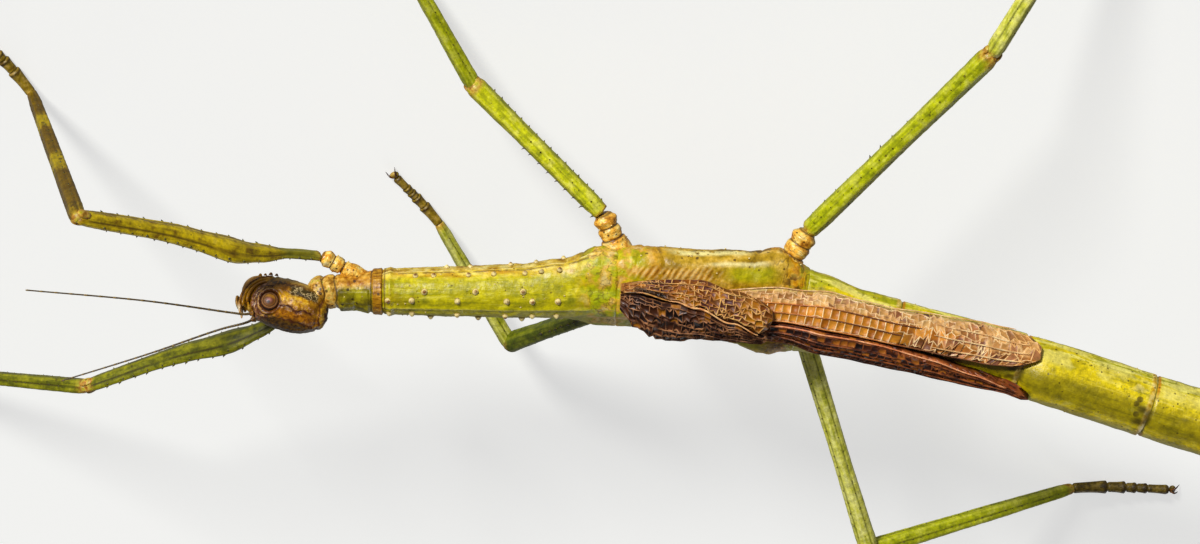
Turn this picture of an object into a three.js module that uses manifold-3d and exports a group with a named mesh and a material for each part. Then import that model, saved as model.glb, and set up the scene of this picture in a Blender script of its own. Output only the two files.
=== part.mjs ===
// A winged stick insect, life size, standing on its six feet.
// Millimetres; +X is towards the head, +Y the insect's left, +Z up, the feet stand on Z = 0.
import * as THREE from 'three';
import { mergeVertices } from 'three/addons/utils/BufferGeometryUtils.js';
import Module from 'manifold-3d';

const wasm = await Module();
wasm.setup();

const { cos, sin, PI, sqrt, abs, max, min, pow, exp, atan2 } = Math;
const RIGHT = 1;
const LEFT = -1;
const DEGREE = PI / 180;

// ---------------------------------------------------------------- driving dimensions

const GAP = 0.06;               // clearance between neighbouring plates
const TUBE_SIDES = 16;          // facets round the body
const LEG_SIDES = 8;
const MIN_THICKNESS = 0.5;      // feelers and wings are kept this stout in the solids

// Where each body region starts and ends, measured from between the middle coxae.
const STATIONS = {
  prothorax: [17.15, 13.0],
  mesothorax: [12.94, 0.2],
  metathorax: [0.14, -9.9],
  abdomen: [-9.96, -15.1, -22.1, -29.2, -36.4, -43.5, -50.0, -56.1, -60.0, -63.3, -66.2],
};

// The body's middle line: distance forward, to the left, and height.
const AXIS = [
  [22.0, 0.0, 9.25], [13.0, 0.0, 9.05], [4.0, 0.0, 8.84], [0.0, 0.03, 8.76],
  [-4.4, 0.23, 8.8], [-9.9, 0.97, 9.18], [-15.4, 2.04, 9.77], [-22.8, 3.6, 10.67],
  [-31.6, 5.93, 12.04], [-42.0, 8.55, 13.3], [-52.0, 10.9, 13.9], [-60.0, 12.6, 13.9],
  [-68.0, 14.2, 13.6],
];

// Distance from the middle line to the back, to the sides and to the belly, along the body.
const GIRTH = [
  [17.2, 0.50, 0.56, 0.58], [16.75, 0.72, 0.76, 0.78],
  [16.4, 0.80, 0.84, 0.84], [15.2, 0.95, 0.98, 0.95], [14.6, 0.92, 0.94, 0.95],
  [13.4, 1.16, 1.20, 1.15], [12.6, 1.26, 1.27, 1.22], [9.0, 1.36, 1.37, 1.30],
  [5.5, 1.44, 1.52, 1.42], [3.3, 1.42, 1.88, 1.60], [1.0, 1.40, 2.62, 2.00],
  [-2.0, 2.00, 2.72, 2.10], [-3.6, 2.22, 2.66, 2.05], [-6.5, 2.22, 2.90, 2.15],
  [-8.2, 2.18, 3.20, 2.25], [-10.6, 2.02, 2.36, 2.00], [-13.0, 1.90, 1.96, 1.80],
  [-18.0, 1.76, 1.80, 1.68], [-23.4, 1.70, 1.76, 1.66], [-32.0, 1.74, 1.76, 1.66],
  [-43.0, 1.78, 1.80, 1.70], [-50.0, 1.60, 1.62, 1.55], [-56.0, 1.30, 1.34, 1.45],
  [-60.0, 1.15, 1.20, 1.35], [-63.3, 1.00, 1.06, 1.00], [-66.2, 0.48, 0.64, 0.55],
];

// The back is lowered under the wings by this much, so that the wings lie flush.
const WING_BED = [[0.6, 0], [-3.2, 1.1], [-8.8, 1.1], [-11.4, 0.52], [-21.5, 0.52], [-23.4, 0]];

// The hind body leans about its middle line, the back towards the right.
const LEAN = { angle: 20 * DEGREE, from: -2.0, to: -12.0 };

const HEAD = {
  length: 4.95, halfWidth: 1.34, halfHeight: 1.36,
  nod: 14.5 * DEGREE, lean: -30 * DEGREE,
  centre: [18.42, 0.34, 9.85],
};
const EYE = { radius: 0.53, forward: 0.66, out: 1.04, up: 0.27 };
const MOUTH = { forward: 1.72, up: -0.36, length: 1.86, halfWidth: 0.82, halfHeight: 0.95 };
const ANTENNA_SECTIONS = 8;

const WING = {
  thickness: MIN_THICKNESS,
  hind: { front: -3.3, rear: -22.9, rootLift: 0.1, lift: 0.14 },
  fore: { front: 0.0, rear: -8.4, rootLift: 0.07, lift: 0.73 },
};

// Half widths of the leg sections: at the near end, near the middle, and at the far end.
const LEG_KINDS = {
  fore: {
    coxaX: 14.1, coxaOut: 0.55, coxaDown: 0.45, hipX: 16.4, hipOut: 1.72, hipDown: 1.05,
    coxaRadius: 0.5, hipRadius: 0.42,
    femur: [[0, 0.32], [0.14, 0.29], [0.26, 0.57], [0.38, 0.82], [0.52, 0.68], [0.75, 0.57],
      [0.92, 0.54], [1, 0.46]],
    femurFlat: 0.62, bow: 0.62,
    tibia: [[0, 0.42], [0.1, 0.50], [0.5, 0.45], [0.9, 0.39], [1, 0.33]],
    tarsus: 5.1,
  },
  mid: {
    coxaX: -0.1, coxaOut: 1.3, coxaDown: 1.1, hipX: 1.0, hipOut: 3.74, hipDown: 2.3,
    coxaRadius: 0.82, hipRadius: 0.58,
    femur: [[0, 0.50], [0.1, 0.53], [0.6, 0.54], [0.86, 0.62], [0.95, 0.66], [1, 0.50]],
    femurFlat: 0.9, bow: 0,
    tibia: [[0, 0.42], [0.1, 0.50], [0.5, 0.44], [0.92, 0.38], [1, 0.32]],
    tarsus: 4.3,
  },
  hind: {
    coxaX: -8.7, coxaOut: 1.3, coxaDown: 1.1, hipX: -10.25, hipOut: 3.95, hipDown: 2.45,
    coxaRadius: 0.85, hipRadius: 0.64,
    femur: [[0, 0.57], [0.08, 0.62], [0.55, 0.57], [0.86, 0.64], [0.95, 0.68], [1, 0.50]],
    femurFlat: 0.9, bow: 0,
    tibia: [[0, 0.44], [0.06, 0.58], [0.5, 0.50], [0.92, 0.42], [1, 0.36]],
    tarsus: 6.2,
  },
};

// Where each leg's knee and ankle are, and the way its foot points on the floor.
const STANCE = {
  fore_R: { knee: [28.4, -10.45, 14.36], ankle: [32.8, -6.6, 0.46], heading: -57 },
  fore_L: { knee: [30.4, 9.85, 7.2], ankle: [42.5, 15.7, 0.46], heading: 26 },
  mid_R: { knee: [8.2, -9.7, 2.6], ankle: [12.3, -17.65, 0.46], heading: -63 },
  mid_L: { knee: [6.5, 10.95, 2.1], ankle: [10.5, 2.86, 0.46], heading: -54 },
  hind_R: { knee: [-19.6, -15.6, 6.1], ankle: [-27.4, -28.6, 0.46], heading: -127 },
  hind_L: { knee: [-14.5, 19.36, 10.07], ankle: [-27.2, 24.26, 0.46], heading: 177 },
};
const TARSUS_RADIUS = 0.36;
const SOLE_HEIGHT = 0.2;         // from the floor to the middle of the foot
const CLAW = { length: 0.62, radius: 0.25, spread: 32 * DEGREE };

const COLOURS = {
  green: 0x8fa336, lime: 0x9cab3a, brown: 0x8a5a28, ochre: 0xa8823a, rust: 0x8c4f26,
  wing: 0xa9713a, darkWing: 0x6e3320, yellow: 0xb5ad48, eye: 0x6b3d1c, dark: 0x2c1a12,
};

// ---------------------------------------------------------------- small helpers

const vec = (x, y, z) => new THREE.Vector3(x, y, z);

/** Value at x in rows [x, a, b, ...] that rise or fall in x, smooth between the rows. */
function between(rows, x, column = 1) {
  const falling = rows[0][0] > rows[rows.length - 1][0];
  const ordered = falling ? [...rows].reverse() : rows;
  if (x <= ordered[0][0]) return ordered[0][column];
  const last = ordered[ordered.length - 1];
  if (x >= last[0]) return last[column];
  const index = ordered.findIndex((row) => row[0] > x);
  const near = ordered[index - 1];
  const far = ordered[index];
  const t = (x - near[0]) / (far[0] - near[0]);
  return near[column] + (far[column] - near[column]) * t * t * (3 - 2 * t);
}

/** The body's middle line as a smooth curve, read by distance forward. */
const axisCurve = new THREE.CatmullRomCurve3(AXIS.map((p) => vec(...p)), false, 'centripetal');

function axisPoint(x) {
  let low = 0;
  let high = 1;
  for (let round = 0; round < 30; round += 1) {
    const middle = (low + high) / 2;
    if (axisCurve.getPoint(middle).x > x) low = middle;
    else high = middle;
  }
  return axisCurve.getPoint((low + high) / 2);
}

/** Frame of the body at x: centre, forward, right and up, with the hind body's lean. */
function bodyFrame(x) {
  const step = 0.2;
  const centre = axisPoint(x);
  const forward = axisPoint(x + step).sub(axisPoint(x - step)).normalize();
  const right = forward.clone().cross(vec(0, 0, 1)).normalize();
  const up = right.clone().cross(forward);
  const lean = LEAN.angle * THREE.MathUtils.smoothstep(LEAN.from - x, 0, LEAN.from - LEAN.to);
  const leaningRight = right.clone().multiplyScalar(cos(lean)).addScaledVector(up, -sin(lean));
  const leaningUp = up.clone().multiplyScalar(cos(lean)).addScaledVector(right, sin(lean));
  return { centre, forward, right: leaningRight, up: leaningUp };
}

/** A point on the body at x, at an angle from the back, positive to the right. */
function bodySurface(x, angle, lift = 0) {
  const { centre, right, up } = bodyFrame(x);
  const turn = abs(atan2(sin(angle), cos(angle))) / DEGREE;
  const toSide = THREE.MathUtils.smoothstep(turn, 48, 98);
  const toBelly = THREE.MathUtils.smoothstep(turn, 108, 180);
  const back = between(GIRTH, x, 1) - between(WING_BED, x);
  const upper = back + (between(GIRTH, x, 2) - back) * toSide;
  const reach = upper + (between(GIRTH, x, 3) - upper) * toBelly + lift;
  return centre.addScaledVector(right, sin(angle) * reach).addScaledVector(up, cos(angle) * reach);
}

/** Keeps only positions, welds equal corners and turns the faces outwards. */
function closed(geometry) {
  geometry.deleteAttribute('normal');
  geometry.deleteAttribute('uv');
  const welded = mergeVertices(geometry, 1e-4);
  const place = welded.attributes.position;
  const corners = welded.index.array;
  const [a, b, c] = [vec(), vec(), vec()];
  let volume = 0;
  for (let i = 0; i < corners.length; i += 3) {
    a.fromBufferAttribute(place, corners[i]);
    b.fromBufferAttribute(place, corners[i + 1]);
    c.fromBufferAttribute(place, corners[i + 2]);
    volume += a.dot(b.cross(c));
  }
  if (volume < 0) {
    for (let i = 0; i < corners.length; i += 3) {
      [corners[i], corners[i + 1]] = [corners[i + 1], corners[i]];
    }
  }
  return welded;
}

/** Moves every corner of a geometry through a function of its own place. */
function reshape(geometry, move) {
  const place = geometry.attributes.position;
  const point = vec();
  for (let i = 0; i < place.count; i += 1) {
    point.fromBufferAttribute(place, i);
    const moved = move(point.x, point.y, point.z);
    place.setXYZ(i, moved.x, moved.y, moved.z);
  }
  return closed(geometry);
}

function solidOf(geometry) {
  return new wasm.Manifold(new wasm.Mesh({
    numProp: 3,
    vertProperties: new Float32Array(geometry.attributes.position.array),
    triVerts: new Uint32Array(geometry.index.array),
  }));
}

function geometryOf(solid) {
  const mesh = solid.getMesh();
  const geometry = new THREE.BufferGeometry();
  geometry.setAttribute('position', new THREE.BufferAttribute(mesh.vertProperties, 3));
  geometry.setIndex(new THREE.BufferAttribute(mesh.triVerts, 1));
  return geometry;
}

const cut = (geometry, ...tools) => geometryOf(
  tools.reduce((solid, tool) => solid.subtract(solidOf(tool)), solidOf(geometry)),
);
const join = (geometry, ...others) => geometryOf(
  others.reduce((solid, other) => solid.add(solidOf(other)), solidOf(geometry)),
);

/** A closed tube: centre(t) gives its line, size(t) its half width and half height. */
function tube({ centre, size, up = vec(0, 0, 1), steps = 6, sides = LEG_SIDES, grow = 0, floor }) {
  const shape = new THREE.CylinderGeometry(1, 1, 1, sides, steps, false, PI / sides);
  return reshape(shape, (x, y, z) => {
    const t = y + 0.5;
    const middle = centre(t);
    const forward = centre(t + 0.01).sub(centre(t - 0.01)).normalize();
    const side = forward.clone().cross(up).normalize();
    const rise = side.clone().cross(forward);
    const [width, height] = size(t);
    middle.addScaledVector(side, x * (width + grow));
    middle.addScaledVector(rise, z * (height + grow));
    if (floor !== undefined) middle.z = max(middle.z, floor);
    return middle;
  });
}

const straight = (a, b) => (t) => a.clone().lerp(b, t);

// ---------------------------------------------------------------- body

/** A ring-shaped length of the body between two stations. */
function bodyLength([front, rear], { steps = 6, grow = 0, bulge = () => 0 } = {}) {
  const shape = new THREE.CylinderGeometry(1, 1, 1, TUBE_SIDES, steps);
  return reshape(shape, (x, y, z) => {
    const t = 0.5 - y;
    const station = front + (rear - front) * t;
    const reach = sqrt(x * x + z * z);
    const angle = atan2(x, z);
    const surface = bodySurface(station, angle, grow + bulge(t, angle));
    return bodyFrame(station).centre.lerp(surface, reach);
  });
}

/** Each ring of the hind body swells a little and ends in a raised rim. */
const ringBulge = (t) => 0.03 * sin(PI * t) + 0.05 * pow(t, 8);

function headFrame() {
  const turn = new THREE.Euler(HEAD.lean, HEAD.nod, 0, 'XYZ');
  const matrix = new THREE.Matrix4().makeRotationFromEuler(turn);
  matrix.setPosition(...HEAD.centre);
  return matrix;
}
const headMatrix = headFrame();
const onHead = (x, y, z) => vec(x, y, z).applyMatrix4(headMatrix);

/** How much fuller the head's blunt rear is than a ball, at a share x of its half length. */
const rearFullness = (x) => (x < 0 && x > -1 ? sqrt((1 - pow(-x, 3)) / (1 - x * x)) : 1);

/** The head capsule: an egg, widest behind the eyes, with a blunt rear that meets the neck. */
function headShape(grow = 0) {
  const ball = new THREE.SphereGeometry(1, 16, 10);
  ball.rotateZ(PI / 2);
  return reshape(ball, (x, y, z) => {
    const taper = (1 - 0.16 * x * x * (x > 0 ? 1 : 0.4)) * rearFullness(x);
    const crown = z > 0 ? 1.02 : 1.06;
    return onHead(
      x * (HEAD.length / 2 + grow),
      y * (HEAD.halfWidth + grow) * taper,
      z * (HEAD.halfHeight + grow) * crown * taper,
    );
  });
}

function eyeShape(side, grow = 0) {
  const ball = new THREE.SphereGeometry(EYE.radius + grow, 10, 7);
  return reshape(ball, (x, y, z) => onHead(
    EYE.forward + x,
    -side * EYE.out + y * 0.72,
    EYE.up + z,
  ));
}

/** Upper lip, jaws and palps as one block under the front of the head. */
function mouthShape() {
  const ball = new THREE.SphereGeometry(1, 10, 7);
  return reshape(ball, (x, y, z) => onHead(
    MOUTH.forward + x * MOUTH.length / 2,
    y * MOUTH.halfWidth,
    MOUTH.up + z * MOUTH.halfHeight,
  ));
}

// Each feeler springs from the top of the head's front: its root there, then its way forward.
const FEELER_ROOT = { forward: 1.4, out: 0.55, up: 1.03 };
const FEELER_WAY = {
  [RIGHT]: [[0.5, 0.0, 0.1], [1.2, -0.1, 0.1], [5.8, -0.7, -0.1], [12.4, -1.6, 0.1]],
  [LEFT]: [[0.5, 0.2, 0.15], [1.9, 0.5, 0.4], [5.9, 2.1, 0.8], [10.9, 3.7, 1.5]],
};

function antennaShape(side) {
  const root = onHead(FEELER_ROOT.forward, -side * FEELER_ROOT.out, FEELER_ROOT.up);
  const way = FEELER_WAY[side].map((step) => root.clone().add(vec(...step)));
  const line = new THREE.CatmullRomCurve3([root, ...way]);
  const radius = MIN_THICKNESS / 2;
  return tube({
    centre: (t) => line.getPoint(min(max(t, 0), 1)).addScaledVector(
      line.getTangent(min(max(t, 0), 1)),
      (t - min(max(t, 0), 1)) * line.getLength(),
    ),
    size: () => [radius, radius],
    steps: ANTENNA_SECTIONS,
    sides: 6,
  });
}

// ---------------------------------------------------------------- wings

/** Angle from the back of a wing's inner and outer edges, at a share of its length. */
const HIND_EDGES = {
  [RIGHT]: [[0, 2, 52], [0.3, 3, 65], [0.39, 4, 66], [0.56, 5, 67], [0.73, 6, 76],
      [0.87, 8, 82], [1, 16, 84]],
  [LEFT]: [[0, 2, 52], [0.27, 5, 60], [0.39, 1, 58], [0.56, -2, 58], [0.73, 5, 60],
    [0.86, 14, 58], [1, 26, 44]],
};
const FORE_EDGES = {
  [RIGHT]: [[0, 44, 60], [0.12, 44, 62], [0.35, 33, 64], [0.5, 24, 64], [0.76, 2, 52], [1, -17, 38]],
  [LEFT]: [[0, -42, -10], [0.1, -42, 20], [0.3, -33, 46], [0.5, -22, 43], [0.76, 0, 45], [1, 19, 40]],
};

/** A curved plate that lies on the body between two stations and two angles. */
function wingPlate(side, { front, rear, rootLift, lift }, edges, hump = () => 0) {
  const plate = new THREE.BoxGeometry(1, 1, 1, 5, 10, 1);
  return reshape(plate, (x, y, z) => {
    const u = x + 0.5;
    const v = y + 0.5;
    const inner = between(edges, v, 1);
    const outer = between(edges, v, 2);
    const angle = side * (inner + (outer - inner) * u) * DEGREE;
    const tipRound = 0.06 * pow(2 * u - 1, 2) * pow(v, 3);
    const station = front + (rear - front) * (v - tipRound);
    const rise = rootLift + (lift - rootLift) * THREE.MathUtils.smoothstep(v, 0, 0.3);
    return bodySurface(station, angle, rise + (z + 0.5) * WING.thickness + hump(u, v));
  });
}

/** The fore wing's shoulder: a low hump near its front, outside the middle. */
const shoulder = (u, v) => 0.2 * exp(-pow((v - 0.42) / 0.22, 2) - pow((u - 0.45) / 0.35, 2));

// ---------------------------------------------------------------- legs

function legPoints(name) {
  const [kindName, sideName] = name.split('_');
  const kind = LEG_KINDS[kindName];
  const side = sideName === 'R' ? RIGHT : LEFT;
  const place = (x, out, down) => axisPoint(x).add(vec(0, -side * out, -down));
  const { knee, ankle, heading } = STANCE[name];
  const toward = vec(cos(heading * DEGREE), sin(heading * DEGREE), 0);
  const heel = vec(...ankle).addScaledVector(toward, 0.2);
  heel.z = ankle[2] - 0.06;
  const toe = heel.clone().addScaledVector(toward, kind.tarsus - 0.6);
  toe.z = SOLE_HEIGHT;
  return {
    kind,
    side,
    toward,
    base: place(kind.coxaX, kind.coxaOut, kind.coxaDown),
    hip: place(kind.hipX, kind.hipOut, kind.hipDown),
    knee: vec(...knee),
    ankle: vec(...ankle),
    heel,
    toe,
  };
}

function coxaShape({ kind, base, hip }) {
  const girth = [[0, kind.coxaRadius], [0.62, kind.coxaRadius * 0.86],
    [0.7, kind.hipRadius * 0.9], [0.84, kind.hipRadius * 1.12], [1, kind.hipRadius * 0.8]];
  const size = (t) => [between(girth, t), between(girth, t)];
  return tube({ centre: straight(base, hip), size, steps: 7 });
}

function femurShape({ kind, hip, knee }, grow = 0) {
  const start = hip.clone().lerp(knee, 0.012 - grow * 0.004);
  const size = (t) => [between(kind.femur, t) * kind.femurFlat, between(kind.femur, t)];
  const line = straight(start, knee);
  const arch = (t) => kind.bow * exp(-pow((t - 0.34) / 0.2, 2));
  const centre = (t) => line(t).add(vec(0, 0, arch(t)));
  return tube({ centre, size, steps: 10, grow });
}

function tibiaShape({ kind, knee, ankle }) {
  const size = (t) => [between(kind.tibia, t) * 0.85, between(kind.tibia, t)];
  return tube({ centre: straight(knee, ankle), size, steps: 7 });
}

/** Five foot joints as waists in one tube, flat below, with two claws at its end. */
function tarsusShape({ heel, toe, toward }) {
  const waists = [0.4, 0.58, 0.7, 0.8];
  const narrowing = (t) => waists.reduce((sum, w) => sum + exp(-pow((t - w) / 0.03, 2)), 0);
  const radius = (t) => TARSUS_RADIUS * (1.06 - 0.18 * narrowing(t));
  const line = straight(heel, toe);
  const centre = (t) => {
    const point = line(t);
    point.z = SOLE_HEIGHT + (heel.z - SOLE_HEIGHT) * pow(max(0, 1 - t), 4);
    return point;
  };
  const foot = tube({
    centre,
    size: (t) => [radius(t), radius(t)],
    steps: 9,
    sides: 6,
    floor: 0,
  });
  const claws = [1, -1].map((hand) => {
    const way = toward.clone().applyAxisAngle(vec(0, 0, 1), hand * CLAW.spread);
    const root = toe.clone().addScaledVector(toward, -0.16);
    const tip = toe.clone().addScaledVector(way, CLAW.length);
    return tube({
      centre: straight(root, tip),
      size: (t) => [CLAW.radius * (1 - 0.5 * t), CLAW.radius * (1 - 0.5 * t)],
      steps: 1,
      sides: 5,
      floor: 0,
    });
  });
  return join(foot, ...claws);
}

// ---------------------------------------------------------------- the insect

const group = new THREE.Group();

function add(name, geometry, colour, roughness = 0.6) {
  const material = new THREE.MeshStandardMaterial({ color: colour, roughness, metalness: 0 });
  const mesh = new THREE.Mesh(geometry, material);
  mesh.name = name;
  group.add(mesh);
}

const sideName = (side) => (side === RIGHT ? 'R' : 'L');

// Head: the eyes sit in hollows cut for them, and the mouth is fitted under the front.
const eyes = [RIGHT, LEFT].map((side) => eyeShape(side));
const sockets = [RIGHT, LEFT].map((side) => eyeShape(side, GAP));
const prothoraxGrown = bodyLength(STATIONS.prothorax, { grow: GAP });
add('head', cut(headShape(), ...sockets, prothoraxGrown), COLOURS.brown);
add('eye_R', eyes[0], COLOURS.eye, 0.3);
add('eye_L', eyes[1], COLOURS.eye, 0.3);
add('mouthparts', cut(mouthShape(), headShape(GAP)), COLOURS.dark);
[RIGHT, LEFT].forEach((side) => {
  add(`antenna_${sideName(side)}`, cut(antennaShape(side), headShape(GAP)), COLOURS.dark);
});

// Legs are made before the body so that each plate can be kept clear of its neighbour.
const legNames = Object.keys(STANCE);
const legs = Object.fromEntries(legNames.map((name) => [name, legPoints(name)]));

// Thorax and hind body.
const prothorax = bodyLength(STATIONS.prothorax, { steps: 7 });
const mesothorax = bodyLength(STATIONS.mesothorax, { steps: 11 });
const metathorax = bodyLength(STATIONS.metathorax, { steps: 10 });
add('prothorax', prothorax, COLOURS.ochre);
add('mesothorax', mesothorax, COLOURS.green);
add('metathorax', metathorax, COLOURS.green);
STATIONS.abdomen.slice(0, -1).forEach((front, index) => {
  const rear = STATIONS.abdomen[index + 1] + GAP;
  const ring = bodyLength([front, rear], { steps: 4, bulge: ringBulge });
  add(`abdomen_${index + 1}`, ring, COLOURS.yellow);
});
[RIGHT, LEFT].forEach((side) => {
  const rear = STATIONS.abdomen[STATIONS.abdomen.length - 1];
  const root = bodySurface(rear - 0.02, side * 75 * DEGREE, -0.32);
  const tip = root.clone().add(vec(-1.05, -side * 0.12, -0.12));
  const cercus = tube({
    centre: straight(root, tip),
    size: (t) => [0.27 - 0.1 * t * t, 0.27 - 0.1 * t * t],
    steps: 3,
    sides: 8,
  });
  add(`cercus_${sideName(side)}`, cercus, COLOURS.ochre);
});

// Wings: the hind pair lies on the back, the short fore pair lies on the roots of the hind pair.
[RIGHT, LEFT].forEach((side) => {
  const colour = side === RIGHT ? COLOURS.wing : COLOURS.darkWing;
  const hindWing = wingPlate(side, WING.hind, HIND_EDGES[side]);
  const foreWing = wingPlate(side, WING.fore, FORE_EDGES[side], shoulder);
  add(`hindwing_${sideName(side)}`, hindWing, colour);
  add(`tegmen_${sideName(side)}`, foreWing, COLOURS.rust);
});

const bodyGrown = [
  bodyLength([16.4, 0.1], { steps: 20, grow: GAP }),
  bodyLength([0.3, -14.9], { steps: 16, grow: GAP }),
];
legNames.forEach((name) => {
  const leg = legs[name];
  const neighbour = name.startsWith('fore') ? [bodyGrown[0]] : bodyGrown;
  add(`coxa_${name}`, cut(coxaShape(leg), ...neighbour), COLOURS.rust);
  add(`femur_${name}`, femurShape(leg), name === 'fore_R' ? COLOURS.ochre : COLOURS.lime);
  const tibia = cut(tibiaShape(leg), femurShape(leg, GAP));
  add(`tibia_${name}`, tibia, name === 'fore_R' ? COLOURS.brown : COLOURS.lime);
  const tarsus = cut(tarsusShape(leg), tibiaShape(leg));
  add(`tarsus_${name}`, tarsus, COLOURS.rust);
});

// The origin is under the middle of the whole model.
const box = new THREE.Box3().setFromObject(group);
const middle = box.getCenter(vec());
group.position.set(-middle.x, -middle.y, -box.min.z);

export default group;
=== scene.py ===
import bisect
import functools
import random
from math import atan2, cos, degrees, exp, hypot, pi, radians, sin, sqrt

import bmesh
import bpy
from mathutils import Matrix, Vector, noise


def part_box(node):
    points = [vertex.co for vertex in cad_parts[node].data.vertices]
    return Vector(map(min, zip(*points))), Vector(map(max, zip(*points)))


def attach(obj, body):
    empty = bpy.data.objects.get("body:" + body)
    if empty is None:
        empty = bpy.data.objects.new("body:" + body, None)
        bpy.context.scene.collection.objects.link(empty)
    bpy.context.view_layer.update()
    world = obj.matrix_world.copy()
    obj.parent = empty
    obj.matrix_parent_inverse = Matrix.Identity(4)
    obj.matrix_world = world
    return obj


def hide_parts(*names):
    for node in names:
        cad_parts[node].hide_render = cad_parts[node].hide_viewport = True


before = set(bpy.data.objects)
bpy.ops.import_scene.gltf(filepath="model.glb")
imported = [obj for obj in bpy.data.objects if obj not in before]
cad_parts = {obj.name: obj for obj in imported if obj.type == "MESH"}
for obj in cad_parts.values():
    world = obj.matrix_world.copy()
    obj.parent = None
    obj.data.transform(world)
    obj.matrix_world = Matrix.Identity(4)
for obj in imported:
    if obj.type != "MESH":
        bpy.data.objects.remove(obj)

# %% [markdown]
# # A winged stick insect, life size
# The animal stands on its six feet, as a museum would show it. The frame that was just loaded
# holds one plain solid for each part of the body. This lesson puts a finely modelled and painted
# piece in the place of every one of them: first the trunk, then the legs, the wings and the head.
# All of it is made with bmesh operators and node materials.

MM = 0.001
RIGHT, LEFT = 1, -1
SIDES = ((RIGHT, "R"), (LEFT, "L"))
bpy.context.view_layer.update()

# %% [markdown]
# ## One space for all measures
# Here the animal is measured in millimetres from a point on its own middle line, between the
# middle legs. The frame has its origin on the floor under the whole model instead. The shift
# between the two comes from the right eye, whose place is known in both.

# %% The head's own frame and the shift
HEAD = {"length": 4.95, "half_width": 1.34, "half_height": 1.36, "centre": Vector((18.42, 0.34, 9.85))}
HEAD_TURN = Matrix.Rotation(radians(-30), 4, "X") @ Matrix.Rotation(radians(14.5), 4, "Y")
EYE = {"radius": 0.53, "forward": 0.66, "out": 1.04, "up": 0.27, "flat": 0.72}


def on_head(forward, left, up):
    """A place in the head's own frame, in millimetres of the animal's space."""
    return HEAD_TURN @ Vector((forward, left, up)) + HEAD["centre"]


eye_low, eye_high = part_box("eye_R")
SHIFT = (eye_low + eye_high) / 2 / MM - on_head(EYE["forward"], -EYE["out"], EYE["up"])
print("shift to the frame in mm:", [round(v, 3) for v in SHIFT])

# %% [markdown]
# ## The camera
# Here the camera hangs over the animal's right side, half way up, and is rolled so that the head
# points to the left of the picture. Three directions are enough to say this: right, up and
# towards the viewer. They become the columns of the turn, which is surer than three angles.

# %% The camera
LENS, SENSOR, DISTANCE = 131.25, 36.0, 240.6
BODY_HEIGHT = 8.745
AIM_RIGHT, AIM_UP = -1.1, 1.0725
NEAR_CLIP, FAR_CLIP = 0.01, 10.0


def add_object(name, data):
    """A new object, linked to the scene."""
    thing = bpy.data.objects.new(name, data)
    bpy.context.scene.collection.objects.link(thing)
    return thing


picture_right = Vector((-0.99974, 0.0, -0.02269)).normalized()
to_viewer = Vector((-0.01615, -0.70218, 0.7118)).normalized()
picture_up = to_viewer.cross(picture_right).normalized()
aim = SHIFT + Vector((0, 0, BODY_HEIGHT)) + picture_right * AIM_RIGHT + picture_up * AIM_UP
camera_data = bpy.data.cameras.new("camera")
camera_data.lens = LENS
camera_data.sensor_width = SENSOR
camera_data.clip_start = NEAR_CLIP
camera_data.clip_end = FAR_CLIP
camera = add_object("camera", camera_data)
turn = Matrix((picture_right, picture_up, to_viewer)).transposed().to_4x4()
camera.matrix_world = Matrix.Translation((aim + to_viewer * DISTANCE) * MM) @ turn
bpy.context.scene.camera = camera
print("camera height in mm:", round(camera.location.z / MM, 1))

# %% [markdown]
# ## Floor and light
# A plain pale floor catches the shadow that tells the eye how high the body stands. One large
# soft lamp comes from the animal's right side, a weak one from behind, and the world fills the
# rest. A sun lamp of strength pi shows a surface that faces it in just the colour that is written
# in its material, so the strengths below are shares of pi.

# %% Floor, lamps and world
FLOOR_TONE, FLOOR_GLOW = (186, 186, 180), 0.60
BACKDROP_TONE, FILL_LIGHT, BACKDROP_LIGHT = (0.94, 0.95, 1.0, 1.0), 0.13, 0.86


def linear(value):
    """One channel from 0 to 255, as the eye reads it, in the straight scale that nodes use."""
    share = value / 255
    return share / 12.92 if share <= 0.04045 else ((share + 0.055) / 1.055) ** 2.4


def colour(red, green, blue):
    """A colour from 0 to 255 for each channel, as nodes want it."""
    return (linear(red), linear(green), linear(blue), 1.0)


def sun(name, direction, share, softness):
    """A sun lamp that shines from a direction; softness is its width in degrees."""
    data = bpy.data.lights.new(name, "SUN")
    data.energy = pi * share
    data.angle = radians(softness)
    lamp = add_object(name, data)
    lamp.rotation_mode = "QUATERNION"
    lamp.rotation_quaternion = Vector(direction).to_track_quat("Z", "Y")


sun("key_lamp", (0.36, -0.87, 0.35), 1.18, 12)
sun("back_lamp", (-0.30, 0.92, 0.25), 0.18, 30)

floor_mesh = bmesh.new()
bmesh.ops.create_grid(floor_mesh, x_segments=1, y_segments=1, size=2.0)
floor_data = bpy.data.meshes.new("floor")
floor_mesh.to_mesh(floor_data)
floor_mesh.free()
floor = add_object("floor", floor_data)

floor_paint = bpy.data.materials.new("floor_paint")
floor_paint.use_nodes = True
floor_shader = floor_paint.node_tree.nodes["Principled BSDF"]
floor_shader.inputs["Base Color"].default_value = colour(*FLOOR_TONE)
floor_shader.inputs["Roughness"].default_value = 0.9
floor_shader.inputs["Specular IOR Level"].default_value = 0.1
floor_shader.inputs["Emission Color"].default_value = (1.0, 1.0, 1.0, 1.0)
floor_seen = floor_paint.node_tree.nodes.new("ShaderNodeLightPath")
floor_lift = floor_paint.node_tree.nodes.new("ShaderNodeMath")
floor_lift.operation = "MULTIPLY"
floor_lift.inputs[1].default_value = FLOOR_GLOW
floor_paint.node_tree.links.new(floor_seen.outputs["Is Camera Ray"], floor_lift.inputs[0])
floor_paint.node_tree.links.new(floor_lift.outputs[0], floor_shader.inputs["Emission Strength"])
floor_data.materials.append(floor_paint)

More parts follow.
